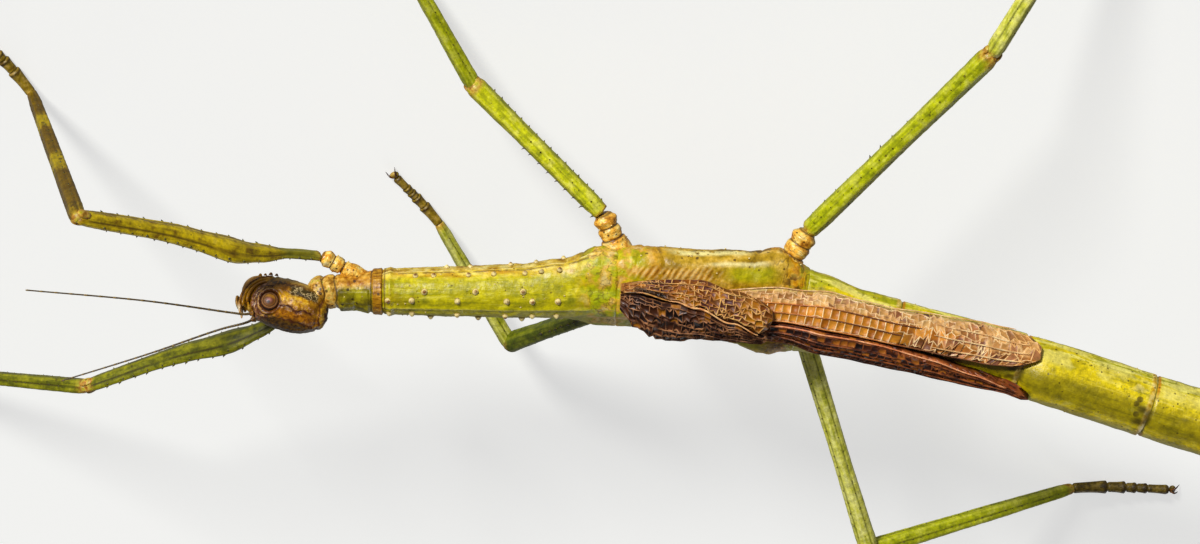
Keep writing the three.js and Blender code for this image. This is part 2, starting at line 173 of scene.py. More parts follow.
world = bpy.data.worlds.new("studio")
bpy.context.scene.world = world
world.use_nodes = True
backdrop = world.node_tree.nodes["Background"]
backdrop.inputs["Color"].default_value = BACKDROP_TONE
seen = world.node_tree.nodes.new("ShaderNodeLightPath")
level = world.node_tree.nodes.new("ShaderNodeMapRange")
level.inputs["To Min"].default_value = FILL_LIGHT
level.inputs["To Max"].default_value = BACKDROP_LIGHT
world.node_tree.links.new(seen.outputs["Is Camera Ray"], level.inputs["Value"])
world.node_tree.links.new(level.outputs["Result"], backdrop.inputs["Strength"])
bpy.context.scene.view_settings.view_transform = "Standard"

# %% [markdown]
# ## The trunk's measures
# The trunk is a bent rod whose girth changes along it. Three things describe it: a smooth middle
# line, a table of reaches to the back, the side and the belly, and a bed under the wings, where
# the back is lower. The tables are the same as those of the solid parts. A table with soft steps
# between its rows is easier to read and to correct than a sculpted mesh.

# %% Tables of the trunk
AXIS = [
    (22.0, 0.0, 9.25), (13.0, 0.0, 9.05), (4.0, 0.0, 8.84), (0.0, 0.03, 8.76), (-4.4, 0.23, 8.8),
    (-9.9, 0.97, 9.18), (-15.4, 2.04, 9.77), (-22.8, 3.6, 10.67), (-31.6, 5.93, 12.04),
    (-42.0, 8.55, 13.3), (-52.0, 10.9, 13.9), (-60.0, 12.6, 13.9), (-68.0, 14.2, 13.6),
]
GIRTH = [
    (17.2, 0.50, 0.56, 0.58), (16.75, 0.72, 0.76, 0.78),
    (16.4, 0.80, 0.84, 0.84), (15.2, 0.95, 0.98, 0.95), (14.6, 0.92, 0.94, 0.95),
    (13.4, 1.16, 1.20, 1.15), (12.6, 1.26, 1.27, 1.22), (9.0, 1.36, 1.37, 1.30),
    (5.5, 1.44, 1.52, 1.42), (3.3, 1.42, 1.88, 1.60), (1.0, 1.40, 2.62, 2.00),
    (-2.0, 2.00, 2.72, 2.10), (-3.6, 2.22, 2.66, 2.05), (-6.5, 2.22, 2.90, 2.15),
    (-8.2, 2.18, 3.20, 2.25), (-10.6, 2.02, 2.36, 2.00), (-13.0, 1.90, 1.96, 1.80),
    (-18.0, 1.76, 1.80, 1.68), (-23.4, 1.70, 1.76, 1.66), (-32.0, 1.74, 1.76, 1.66),
    (-43.0, 1.78, 1.80, 1.70), (-50.0, 1.60, 1.62, 1.55), (-56.0, 1.30, 1.34, 1.45),
    (-60.0, 1.15, 1.20, 1.35), (-63.3, 1.00, 1.06, 1.00), (-66.2, 0.48, 0.64, 0.55),
]
WING_BED = [(0.6, 0), (-3.2, 1.1), (-8.8, 1.1), (-11.4, 0.52), (-21.5, 0.52), (-23.4, 0)]
LEAN = {"angle": radians(20), "start": -2.0, "over": 10.0}


def smooth(value, low, high):
    """0 below low, 1 above high, with a soft step between them."""
    share = min(max((value - low) / (high - low), 0.0), 1.0)
    return share * share * (3 - 2 * share)


def between(rows, place, column=1):
    """Reads a table whose first column rises or falls, with a soft step between the rows."""
    ordered = rows if rows[0][0] < rows[-1][0] else rows[::-1]
    if place <= ordered[0][0]:
        return ordered[0][column]
    for near, far in zip(ordered, ordered[1:]):
        if place < far[0]:
            return near[column] + (far[column] - near[column]) * smooth(place, near[0], far[0])
    return ordered[-1][column]


def bell(distance, width):
    """1 in the middle, falling off on both sides over about the given width."""
    return exp(-((distance / width) ** 2))


# %% [markdown]
# ## A smooth line through a few points
# Feelers, veins and the trunk follow curves through a handful of points. The centripetal
# Catmull-Rom curve passes through each point and never makes a loop between two of them. It is
# a cubic whose slopes at the ends of each stretch come from the neighbours.

# %% The curve and the trunk's frame


def curve_through(points):
    """A function of t from 0 to 1 that runs smoothly through the points."""
    points = [Vector(p) for p in points]
    ends = [points[0] * 2 - points[1], *points, points[-1] * 2 - points[-2]]

    def at(t):
        place = min(max(t, 0.0), 1.0) * (len(points) - 1)
        index = min(int(place), len(points) - 2)
        share = place - index
        before, near, far, after = ends[index:index + 4]
        gap_0 = max((near - before).length ** 0.5, 1e-4)
        gap_1 = max((far - near).length ** 0.5, 1e-4)
        gap_2 = max((after - far).length ** 0.5, 1e-4)
        slope_near = (near - before) / gap_0 - (far - before) / (gap_0 + gap_1) + (far - near) / gap_1
        slope_far = (far - near) / gap_1 - (after - near) / (gap_1 + gap_2) + (after - far) / gap_2
        slope_near *= gap_1
        slope_far *= gap_1
        square, cube = share * share, share * share * share
        return (
            near * (1 - 3 * square + 2 * cube) + far * (3 * square - 2 * cube)
            + slope_near * (share - 2 * square + cube) + slope_far * (cube - square)
        )

    return at


AXIS_SAMPLES = 1800
axis_curve = curve_through(AXIS)
axis_line = [axis_curve(i / AXIS_SAMPLES) for i in range(AXIS_SAMPLES + 1)]
backwards = [-point.x for point in axis_line]


@functools.lru_cache(maxsize=None)
def axis_point(x):
    """The middle line's point at a distance x forward."""
    index = min(max(bisect.bisect_left(backwards, -x), 1), AXIS_SAMPLES)
    near, far = axis_line[index - 1:index + 1]
    return near.lerp(far, (x - near.x) / (far.x - near.x))


@functools.lru_cache(maxsize=None)
def body_frame(x):
    """Centre, right and up of the trunk at x. The hind body leans to the right."""
    forward = (axis_point(x + 0.2) - axis_point(x - 0.2)).normalized()
    right = forward.cross(Vector((0, 0, 1))).normalized()
    up = right.cross(forward)
    lean = LEAN["angle"] * smooth(LEAN["start"] - x, 0, LEAN["over"])
    leaning_right = right * cos(lean) - up * sin(lean)
    leaning_up = up * cos(lean) + right * sin(lean)
    return axis_point(x), leaning_right, leaning_up


@functools.lru_cache(maxsize=None)
def girth_at(x):
    """Reach of the trunk to the back, the side and the belly at x."""
    return between(GIRTH, x, 1) - between(WING_BED, x), between(GIRTH, x, 2), between(GIRTH, x, 3)


def body_surface(x, angle, lift=0.0):
    """A point on the trunk; the angle is measured from the back, positive to the right."""
    centre, right, up = body_frame(round(x, 3))
    back, side, belly = girth_at(round(x, 3))
    turned = abs(degrees(atan2(sin(angle), cos(angle))))
    upper = back + (side - back) * smooth(turned, 48, 98)
    reach = upper + (belly - upper) * smooth(turned, 108, 180) + lift
    return centre + right * (sin(angle) * reach) + up * (cos(angle) * reach)


print("trunk from x =", AXIS[0][0], "to", AXIS[-1][0], "mm")

# %% [markdown]
# ## A bench for meshes
# Nearly every part of an insect is a tube, thick or thin. So one helper makes a tube of radius 1
# from `create_cone`, cuts its long edges into rings with `subdivide_edges`, and moves each vertex
# to its place on the body. It also writes down where on the tube a vertex was, in an attribute
# called `shell`: millimetres along, then right and up on the unit circle. Materials read it to
# draw rings and bands that follow the part.
# The attribute `tip` says how far up a thorn a vertex is.

# %% Tubes, thorns and finishing


def new_mesh():
    """An empty bmesh with the two attributes that the materials read."""
    bm = bmesh.new()
    bm.verts.layers.float_vector.new("shell")
    bm.verts.layers.float.new("tip")
    return bm


def add_tube(bm, place, along=(0.0, 1.0), sides=24, rings=8, crowd=0.0, tip=None, material=0):
    """A tube from t = 0 to 1 whose vertices go to place(t, angle, reach).

    crowd brings the rings nearer to both ends, for round ends."""
    shell, tips = bm.verts.layers.float_vector["shell"], bm.verts.layers.float["tip"]
    before = len(bm.verts)
    made = bmesh.ops.create_cone(bm, cap_ends=True, segments=sides, radius1=1, radius2=1, depth=1)
    long_edges = {e for v in made["verts"] for e in v.link_edges if e.verts[0].co.z * e.verts[1].co.z < 0}
    if rings > 1:
        bmesh.ops.subdivide_edges(bm, edges=list(long_edges), cuts=rings - 1, use_grid_fill=True)
    verts = list(bm.verts)[before:]
    for face in {f for v in verts for f in v.link_faces}:
        face.material_index = material
    for vert in verts:
        step = vert.co.z + 0.5
        t = step + crowd * ((1 - cos(pi * step)) / 2 - step)
        angle = atan2(vert.co.x, vert.co.y)
        vert[shell] = Vector((along[0] + (along[1] - along[0]) * t, sin(angle), cos(angle)))
        vert[tips] = 0.0 if tip is None else tip(t)
        vert.co = place(t, angle, hypot(vert.co.x, vert.co.y))
    return verts


def along_line(line, size, up=Vector((0, 0, 1)), lift=lambda t, angle: 0.0):
    """A place function: the tube follows line(t), with half width and half height size(t)."""

    def place(t, angle, reach):
        centre = line(t)
        forward = (line(t + 0.01) - line(t - 0.01)).normalized()
        side = forward.cross(up).normalized()
        rise = side.cross(forward)
        width, height = size(t)
        extra = lift(t, angle)
        return (
            centre + side * (sin(angle) * (width + extra) * reach)
            + rise * (cos(angle) * (height + extra) * reach)
        )

    return place


def straight(start, end):
    return lambda t: start.lerp(end, t) if 0 <= t <= 1 else start + (end - start) * t


def rounded(t, near, far):
    """1 along most of a tube, falling to 0 in a quarter circle over the given shares of its ends."""
    share = 1.0
    if near and t < near:
        share = sqrt(max(0.0, 1 - (1 - t / near) ** 2))
    if far and t > 1 - far:
        share = min(share, sqrt(max(0.0, 1 - (1 - (1 - t) / far) ** 2)))
    return max(share, 0.02)


def add_thorn(bm, root, way, height, radius, shell_place, material=0, sides=7, power=1.35):
    """A small cone for teeth and spines; a low power makes it a dome, for warts."""
    shell = bm.verts.layers.float_vector["shell"]
    way = way.normalized()
    line = lambda t: root + way * (height * (t - 0.18))
    girth = lambda t: radius * (0.12 + 0.88 * max(0.0, 1 - t) ** power)
    across = Vector((1, 0, 0)) if abs(way.x) < 0.8 else Vector((0, 1, 0))
    verts = add_tube(
        bm, along_line(line, lambda t: (girth(t), girth(t)), up=across),
        sides=sides, rings=3 if power > 1 else 6, tip=lambda t: max(t, 0.02), material=material,
    )
    for vert in verts:
        vert[shell] = shell_place
    return verts


def finish_piece(bm, name, paints, stands_for=()):
    """Welds, turns the faces out, goes to metres and hands the piece to the frame."""
    bmesh.ops.remove_doubles(bm, verts=bm.verts, dist=1e-5)
    bmesh.ops.recalc_face_normals(bm, faces=bm.faces)
    bmesh.ops.translate(bm, vec=SHIFT, verts=bm.verts)
    bmesh.ops.scale(bm, vec=Vector((MM, MM, MM)), verts=bm.verts)
    mesh = bpy.data.meshes.new(name)
    bm.to_mesh(mesh)
    bm.free()
    for paint in paints:
        mesh.materials.append(paint)
    mesh.polygons.foreach_set("use_smooth", [True] * len(mesh.polygons))
    piece = add_object(name, mesh)
    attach(piece, "root")
    if stands_for:
        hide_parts(*stands_for)
    triangles = sum(len(p.vertices) - 2 for p in mesh.polygons)
    print(f"{name}: {triangles} triangles")
    return piece


def grain(point, size, seed=0.0):
    """Soft noise from -1 to 1 whose lumps are about size millimetres across."""
    return noise.noise(point / size + Vector((seed, seed * 1.7, -seed)))


# %% [markdown]
# ## A bench for materials
# A material is a tree of small steps: a coordinate, a pattern, a ramp that turns the pattern
# into colours, and the shader. The class below adds a node per call and gives back its output, so
# that a recipe reads like a sentence. Patterns are scaled in millimetres. Colours come from
# nodes, but a constant such as the coat is set on the shader's own socket, because only that is
# carried along when the model is exported.

# %% The paint bench


class Paint:
    """One node material. The methods give back output sockets."""

    def __init__(self, name, specular=0.35, coat=0.0):
        self.material = bpy.data.materials.new(name)
        self.material.use_nodes = True
        self.tree = self.material.node_tree
        self.shader = self.tree.nodes["Principled BSDF"]
        self.shader.inputs["Specular IOR Level"].default_value = specular
        self.shader.inputs["Coat Weight"].default_value = coat
        self.shader.inputs["Coat Roughness"].default_value = 0.25
        self.mm = self.node(
            "Mapping", {"Vector": self.node("TexCoord", {}, "Object"), "Scale": (1000, 1000, 1000)}
        )
        self.shell = self.node("Attribute", {}, "Vector", attribute_name="shell")
        self.along, self.across, upward = self.parts(self.shell)
        self.angle = self.times(self.math("ARCTAN2", self.across, upward), 180 / pi)
        self.turned = self.math("ABSOLUTE", self.angle)
        self.tip = self.node("Attribute", {}, "Fac", attribute_name="tip")

    def feed(self, socket, value):
        """Links an output to the socket, or sets a value there; a colour is written from 0 to 255."""
        if isinstance(value, bpy.types.NodeSocket):
            self.tree.links.new(value, socket)
        else:
            socket.default_value = colour(*value) if socket.type == "RGBA" else value

    def node(self, kind, feeds, output=0, **settings):
        node = self.tree.nodes.new("ShaderNode" + kind)
        for key, value in settings.items():
            setattr(node, key, value)
        for key, value in feeds.items():
            self.feed(node.inputs[key], value)
        return node.outputs[output]

    def parts(self, vector):
        """The three numbers of a vector."""
        node = self.tree.nodes.new("ShaderNodeSeparateXYZ")
        self.feed(node.inputs[0], vector)
        return tuple(node.outputs)

    def math(self, operation, first, second=0.0):
        return self.node("Math", {0: first, 1: second}, operation=operation)

    def plus(self, first, second):
        return self.math("ADD", first, second)

    def minus(self, first, second):
        return self.math("SUBTRACT", first, second)

    def times(self, *values):
        return functools.reduce(lambda a, b: self.math("MULTIPLY", a, b), values)

    def most(self, *values):
        return functools.reduce(lambda a, b: self.math("MAXIMUM", a, b), values)

    def reach(self, first, second):
        """The length of a line from its two sides."""
        return self.math("SQRT", self.plus(self.times(first, first), self.times(second, second)))

    def noise(self, size, detail=3.0, vector=None, rough=0.55, seed=0.0):
        """Soft clouds about size millimetres across, from 0 to 1."""
        moved = self.node("Mapping", {"Vector": vector or self.mm, "Location": (seed, seed * 2, 0)})
        feeds = {"Vector": moved, "Scale": 1 / size, "Detail": detail, "Roughness": rough}
        return self.node("TexNoise", feeds)

    def streaks(self, length, width, seed=0.0, detail=3.0, radius=1.4):
        """Clouds drawn out along the part: length and width in millimetres."""
        scale = (1 / length, radius / width, radius / width)
        drawn_out = self.node("Mapping", {"Vector": self.shell, "Scale": scale})
        return self.noise(1.0, detail, drawn_out, seed=seed)

    def patches(self, size, low, high, seed=0.0):
        """Clouds of a size with a soft edge: 0 where they are low, 1 where they are high."""
        return self.step(self.noise(size, seed=seed), low, high)

    def spots(self, size, share, seed=0.0):
        """Round spots in random places: 1 inside a spot, 0 outside."""
        moved = self.node("Mapping", {"Vector": self.mm, "Location": (seed, seed * 2, 0)})
        distance = self.node("TexVoronoi", {"Vector": moved, "Scale": 1 / size})
        return self.step(distance, share, share * 0.7)

    def step(self, value, low, high):
        """A soft step: 0 at low, 1 at high."""
        feeds = {"Value": value, "From Min": low, "From Max": high}
        return self.node("MapRange", feeds, interpolation_type="SMOOTHSTEP")

    def band(self, value, middle, half_width, soft):
        """1 within half_width of the middle, with soft edges."""
        away = self.math("ABSOLUTE", self.minus(value, middle))
        return self.step(away, half_width + soft, max(half_width - soft, 0.0))

    def field(self, station, angle):
        """A patch of the trunk. Both are (middle, half width, soft edge), in mm along and degrees."""
        return self.times(self.band(self.along, *station), self.band(self.turned, *angle))

    def mix(self, share, first, second):
        """The first colour where the share is 0, the second where it is 1."""
        return self.node("Mix", {0: share, 6: first, 7: second}, 2, data_type="RGBA", blend_type="MIX")

    def ramp(self, value, *stops):
        """Colours along a value; a stop is a place and its red, green and blue."""
        node = self.tree.nodes.new("ShaderNodeValToRGB")
        self.feed(node.inputs[0], value)
        for _ in stops[2:]:
            node.color_ramp.elements.new(0.5)
        for element, (place, *tone) in zip(node.color_ramp.elements, stops):
            element.position = place
            element.color = colour(*tone)
        return node.outputs[0]

    def ground(self, value, *stops):
        """The first coat: a ramp of colours along a value."""
        self.tone = self.ramp(value, *stops)

    def lay(self, tone, *masks):
        """A further coat over the last one, as strong as the masks multiplied together."""
        self.tone = self.mix(self.times(*masks), self.tone, tone)

    def bump(self, height, depth, under=None):
        """Tilts the surface's light as if it rose by height times depth, in millimetres."""
        feeds = {"Height": height, "Distance": depth * MM, "Strength": 1.0}
        if under is not None:
            feeds["Normal"] = under
        return self.node("Bump", feeds)

    def finish(self, roughness, height, relief, under=None, depth=0.30, strength=1.10):
        """Adds grain to the coats, deepens their colour, and feeds the shader that and the bumps."""
        cloud = self.node("TexNoise", {"Vector": self.mm, "Scale": 3.4, "Detail": 6.0, "Roughness": 0.72})
        span = {"From Min": 0.36, "From Max": 0.64, "To Min": 1 - depth, "To Max": 1 + depth / 2}
        shade = self.node("MapRange", {"Value": cloud, **span})
        tone = self.node("HueSaturation", {"Color": self.tone, "Saturation": strength, "Value": shade})
        self.feed(self.shader.inputs["Base Color"], tone)
        self.feed(self.shader.inputs["Roughness"], roughness)
        self.feed(self.shader.inputs["Normal"], self.bump(height, relief, under))
        print(f"{self.material.name}: {len(self.tree.nodes)} nodes")
        return self.material


# %% [markdown]
# ## Thorns and teeth
# The warts on the back and the small spines of the legs are cones with a horny point. One recipe
# serves both: the `tip` attribute runs from the foot to the point.

# %% Thorn paints


def thorn_paint(name, foot, middle, point, top=0.8):
    """Paint from the foot's tone to the point's; top is how far up the point begins."""
    ink = Paint(name, specular=0.5)
    height = ink.plus(ink.tip, ink.minus(ink.times(ink.noise(0.12), 0.3), 0.15))
    worn = ink.mix(ink.patches(1.1, 0.42, 0.6, seed=31), point, middle)
    ink.tone = ink.mix(ink.step(height, 0.1, top * 0.6), foot, middle)
    ink.lay(worn, ink.step(height, top * 0.6, top))
    return ink.finish(0.4, ink.noise(0.06), 0.01)


wart_paint = thorn_paint("wart", (146, 116, 52), (240, 220, 156), (128, 80, 36), 0.95)
tooth_paint = thorn_paint("tooth", (128, 122, 40), (60, 48, 20), (24, 18, 12))

# %% [markdown]
# ## Lengths of the trunk
# The thorax has three rings of hard plates, and the hind body has ten softer ones. Each length is
# one tube on the surface that the tables describe, with a lift for everything that stands out
# from it: keels, rims, folds and grain. At its ends the plate turns in under its neighbour, as
# the rings of a real insect slide into each other.

# %% A length of trunk


def add_length(bm, front, rear, rings, sides, lift, tuck=0.14):
    """A tube of trunk from one station to another, with a lift(x, angle in degrees)."""

    def place(t, angle, reach):
        x = front + (rear - front) * t
        hem = min(t, 1 - t) * abs(front - rear)
        turned_in = tuck * (1 - smooth(hem, 0, tuck * 1.2))
        return body_surface(x, angle, lift(x, degrees(angle)) - turned_in)

    return add_tube(bm, place, along=(front, rear), sides=sides, rings=rings)


def out_from_body(x, angle):
    """The way straight out of the trunk at an angle in degrees."""
    _, right, up = body_frame(round(x, 3))
    return right * sin(radians(angle)) + up * cos(radians(angle))


def add_wart(bm, x, angle, height, radius, material=1):
    root = body_surface(x, radians(angle))
    return add_thorn(
        bm, root, out_from_body(x, angle), height, radius, (x, 0, 1), material, sides=10, power=0.62,
    )


# %% [markdown]
# ## The prothorax
# The first ring is short. A saddle-shaped plate covers its back, with a groove across its middle
# and a dark margin along each side, and a raised collar ends it. In front of the plate the neck
# shows soft swellings. All of this is low relief, so it goes into the lift.

# %% Prothorax
PRONOTUM = {"front": 15.45, "rear": 13.72, "edge": 50.0}
COLLAR = {"middle": 13.3, "half": 0.27}


def prothorax_lift(x, angle):
    turned = abs(angle)
    plate = smooth(x, PRONOTUM["rear"], PRONOTUM["rear"] + 0.12)
    plate *= smooth(-x, -PRONOTUM["front"], -PRONOTUM["front"] + 0.12)
    lift = 0.09 * plate * smooth(-turned, -PRONOTUM["edge"], -PRONOTUM["edge"] + 6)
    lift += 0.05 * plate * bell(turned - PRONOTUM["edge"] + 7, 5)
    lift -= 0.06 * plate * bell(x - 14.55, 0.09) * smooth(-turned, -40, -30)
    lift -= 0.04 * plate * bell(turned, 4)
    lift += 0.10 * smooth(-abs(x - COLLAR["middle"]), -COLLAR["half"] - 0.07, -COLLAR["half"] + 0.05)
    lift += 0.13 * bell(x - 15.95, 0.24) * (bell(turned - 62, 20) + 0.8 * bell(turned - 118, 20))
    front_swelling = bell(turned - 84, 17) + 0.9 * bell(turned - 132, 18) + bell(turned - 30, 18)
    lift += 0.12 * bell(x - 16.62, 0.20) * front_swelling
    lift -= 0.09 * bell(x - 16.28 + 0.1 * sin(angle / 22), 0.06)
    lift += 0.08 * bell(x - 14.2, 0.5) * bell(turned - 105, 18)
    lift -= 0.07 * bell(x - 15.6 - 0.08 * sin(angle / 18), 0.07)
    point = Vector((x, angle / 30, 0.0))
    return lift + 0.02 * grain(point, 0.22) + 0.012 * grain(point, 0.09, 3)


ink = Paint("saddle_shell", coat=0.08)
along, turned = ink.along, ink.turned
mottle = ink.noise(0.5)
ink.ground(mottle, (0.30, 78, 68, 20), (0.48, 124, 112, 34), (0.62, 168, 156, 52))
flank = ink.ramp(ink.noise(0.35, seed=4), (0.35, 150, 96, 44), (0.5, 206, 152, 74), (0.65, 226, 182, 100))
ink.lay(flank, ink.step(turned, 46, 74))
belly = ink.mix(mottle, (150, 128, 62), (196, 176, 92))
ink.lay(belly, ink.step(turned, 125, 150))
neck = ink.step(ink.plus(along, ink.times(mottle, 0.8)), 15.7, 16.1)
ink.lay(
    ink.ramp(
        ink.noise(0.3, seed=9), (0.35, 142, 98, 46), (0.48, 200, 154, 78), (0.58, 226, 188, 112),
        (0.68, 178, 166, 66),
    ),
    neck,
)
square = ink.field((14.3, 0.4, 0.8), (36, 9, 12))
ink.lay((176, 168, 58), square, 0.8)
collar = ink.band(along, COLLAR["middle"], 0.26, 0.07)
ink.lay(
    ink.ramp(
        ink.streaks(0.6, 0.12, seed=2), (0.35, 138, 92, 38), (0.55, 190, 140, 64), (0.7, 214, 172, 92),
    ),
    collar,
)
margin = ink.times(0.5, ink.band(turned, 51, 1.2, 1.6), ink.band(along, 14.4, 0.95, 0.1))
turn_wave = ink.math("SINE", ink.times(turned, 1 / 20))
wavy_along = ink.plus(along, ink.times(turn_wave, 0.09))
lines = ink.most(
    margin, ink.band(along, 13.64, 0.015, 0.05), ink.band(wavy_along, 15.6, 0.02, 0.06),
    ink.band(wavy_along, 16.28, 0.02, 0.06), ink.spots(0.42, 0.25, seed=5),
)
ink.lay((46, 30, 16), lines, 0.85)
saddle_paint = ink.finish(0.42, ink.noise(0.12), 0.035)

bm = new_mesh()
add_length(bm, 17.15, 12.95, 130, 80, prothorax_lift)
for wart_x, wart_angle in ((15.1, 28), (14.95, -24), (14.1, 30), (14.0, -28), (13.3, 62), (13.3, 88)):
    add_wart(bm, wart_x, wart_angle, 0.12, 0.12)
finish_piece(bm, "prothorax_shell", [saddle_paint, wart_paint], ["prothorax"])

# %% [markdown]
# ## The mesothorax
# The long second ring is a green rod with a fine keel along the back and a sharp edge along each
# side, where the back plate meets the flank. Rows of small warts with brown points run along it.
# They keep their own places: two rows beside the keel, one half way down, one on the edge and one
# on the flank. Behind, the ring widens to carry the middle legs.

# %% Mesothorax
WARTS = {
    22: [12.7, 11.4, 8.9, 6.2, 4.8, 3.4], 44: [10.7, 7.9, 5.3], 86: [11.2, 10.2, 8.3, 6.9, 5.2, 4.3, 3.3],
    120: [9.5, 8.2, 6.0, 4.6, 3.1],
}
LEG_ROOT_TONES = [(0.34, 148, 158, 38), (0.45, 188, 186, 60), (0.54, 224, 180, 92), (0.64, 242, 212, 144)]


def mesothorax_lift(x, angle):
    turned = abs(angle)
    fade = smooth(x, 0.6, 2.4)
    lift = 0.07 * bell(turned, 3.5) * fade
    lift += 0.10 * bell(turned - 97, 4.0) - 0.05 * bell(turned - 104, 3.5)
    lift += 0.03 * bell(turned - 22, 7) + 0.02 * bell(turned - 60, 10)
    lift += 0.05 * bell(turned - 128, 5) * smooth(x, 3, 6)
    lift += 0.07 * bell(x - 12.6, 0.12)
    near_root = smooth(-x, -1.9, -0.8) * smooth(turned, 76, 92)
    lift += 0.11 * near_root * grain(Vector((x, angle / 18, 4.0)), 0.5, 7)
    lift += 0.10 * (1 - fade) * bell(turned - 62, 12) + 0.08 * bell(x - 1.3, 0.5) * bell(turned - 110, 16)
    lift -= 0.07 * bell(x - 2.4 + 0.012 * (turned - 90), 0.10) * bell(turned - 118, 24)
    point = Vector((x, angle / 26, 0.0))
    return lift + 0.028 * grain(point, 0.55) + 0.016 * grain(point, 0.17, 5) + 0.012 * grain(point, 0.09, 2)


ink = Paint("green_rod_shell", coat=0.1)
along, turned = ink.along, ink.turned
mottle = ink.noise(0.9, detail=5, rough=0.62)
ink.ground(mottle, (0.32, 138, 136, 22), (0.46, 178, 168, 30), (0.58, 198, 186, 42), (0.72, 216, 204, 84))
streak = ink.streaks(1.3, 0.16, seed=7)
ink.lay((160, 156, 40), ink.step(streak, 0.56, 0.72))
ink.lay((216, 206, 98), ink.step(streak, 0.45, 0.3), 0.7)
front = ink.times(ink.step(along, 10.6, 12.9), ink.patches(0.6, 0.4, 0.6, seed=3))
ink.lay((158, 132, 54), front, 0.6)
edge_noise = ink.times(ink.minus(ink.noise(0.5, seed=1), 0.5), 26)
wavy_turn = ink.plus(turned, edge_noise)
streak_tone = ink.streaks(1.2, 0.25, seed=11)
side_band = ink.ramp(streak_tone, (0.34, 196, 148, 66), (0.5, 226, 198, 92), (0.66, 240, 218, 128))
ink.lay(side_band, ink.step(wavy_turn, 72, 86), 0.9)
flank = ink.ramp(ink.noise(0.6, seed=13), (0.34, 150, 112, 50), (0.48, 206, 174, 84), (0.62, 228, 208, 130))
ink.lay(flank, ink.step(turned, 98, 101))
belly = ink.mix(mottle, (136, 136, 48), (190, 184, 92))
ink.lay(belly, ink.step(wavy_turn, 124, 150))
root_green = ink.times(ink.step(along, 2.8, 1.2), ink.step(turned, 128, 112))
ink.lay(ink.ramp(ink.noise(0.85, seed=17), *LEG_ROOT_TONES), root_green, 0.85)
pale_line = ink.times(ink.band(turned, 97.5, 1.0, 1.6), ink.patches(0.8, 0.4, 0.6, seed=5))
ink.lay((246, 226, 164), pale_line, 0.8)
ink.lay((214, 204, 110), ink.band(turned, 0, 1.5, 2.0), 0.7)
brown_line = ink.times(ink.band(turned, 93.5, 0.9, 1.6), ink.patches(0.5, 0.36, 0.5, seed=6))
patch = ink.field((2.0, 0.16, 0.14), (116, 6, 5))
flecks = ink.times(ink.spots(0.30, 0.20, seed=2), ink.patches(1.1, 0.5, 0.6, seed=8))
root_blot = ink.field((1.95, 0.22, 0.16), (128, 7, 5))
folds = ink.times(ink.band(ink.noise(0.9, seed=31), 0.5, 0.008, 0.02), ink.step(along, 2.4, 1.4))
dashes = ink.times(ink.band(turned, 132, 4, 3), ink.step(ink.streaks(0.7, 0.6, seed=41), 0.5, 0.55))
dark = ink.most(
    brown_line, patch, flecks, root_blot, ink.times(folds, 0.8), dashes, ink.band(along, 12.9, 0.02, 0.07),
)
ink.lay((88, 58, 24), dark, 0.72)
span = {"From Min": 0.3, "From Max": 0.7, "To Min": 0.48, "To Max": 0.36}
rough = ink.node("MapRange", {"Value": mottle, **span})
fine = ink.bump(ink.noise(0.1, detail=2), 0.02)
green_rod_paint = ink.finish(rough, streak, 0.03, under=fine)

bm = new_mesh()
add_length(bm, 13.1, 0.1, 190, 96, mesothorax_lift)
random.seed(5)
for row_angle, stations in WARTS.items():
    for station in stations:
        size = 0.85 if row_angle > 80 else 1.0
        for hand in (RIGHT, LEFT):
            nudge = 0.0 if hand == RIGHT else random.uniform(-0.3, 0.12)
            add_wart(bm, station + nudge, hand * row_angle, 0.25 * size, 0.22 * size)
for _ in range(46):
    add_wart(bm, random.uniform(1.5, 12.6), random.uniform(-150, 150), 0.06, 0.06)
finish_piece(bm, "mesothorax_shell", [green_rod_paint, wart_paint], ["mesothorax"])

# %% [markdown]
# ## The metathorax
# The third ring is the deepest: its sides swell at the roots of the hind legs, and its back is
# hidden by the wings; there it is painted dark brown as shade. The flank has a soft fold with a
# painted pale highlight, slanting seams between its plates, dark dots and a tan shoulder in front
# of each hind leg.

# %% Metathorax


def metathorax_lift(x, angle):
    turned = abs(angle)
    lift = 0.09 * bell(turned - 84, 5) * smooth(x, -8.6, -7.2) * smooth(-x, 2.6, 4.0)
    lift -= 0.06 * bell(turned - 93, 5) * smooth(x, -8.2, -7.0) * smooth(-x, 2.0, 3.4)
    lift += 0.16 * bell(x + 8.0, 0.55) * bell(turned - 116, 16)
    lift -= 0.08 * bell(x + 2.3 - 0.012 * (turned - 90), 0.10) * smooth(turned, 60, 80)
    lift -= 0.07 * bell(x + 0.9 + 0.010 * (turned - 90), 0.08) * smooth(turned, 66, 84)
    lift -= 0.07 * bell(x + 7.1 + 0.014 * (turned - 100), 0.10) * smooth(turned, 74, 96)
    lift += 0.08 * bell(x + 1.6, 0.35) * bell(turned - 98, 15)
    lift += 0.05 * bell(turned - 135, 6)
    strokes = bell(sin((x * 4.8 + turned * 0.17) * 1.85), 0.3) * smooth(x, -5.6, -4.6)
    lift -= 0.02 * strokes * bell(turned - 76, 7)
    near_root = max(smooth(x, -2.4, -1.0), smooth(-x, 7.6, 8.6)) * smooth(turned, 76, 92)
    lift += 0.11 * near_root * grain(Vector((x, angle / 18, 4.0)), 0.5, 7)
    point = Vector((x, angle / 22, 1.0))
    return lift + 0.04 * grain(point, 0.6) + 0.02 * grain(point, 0.2, 5) + 0.012 * grain(point, 0.1, 2)


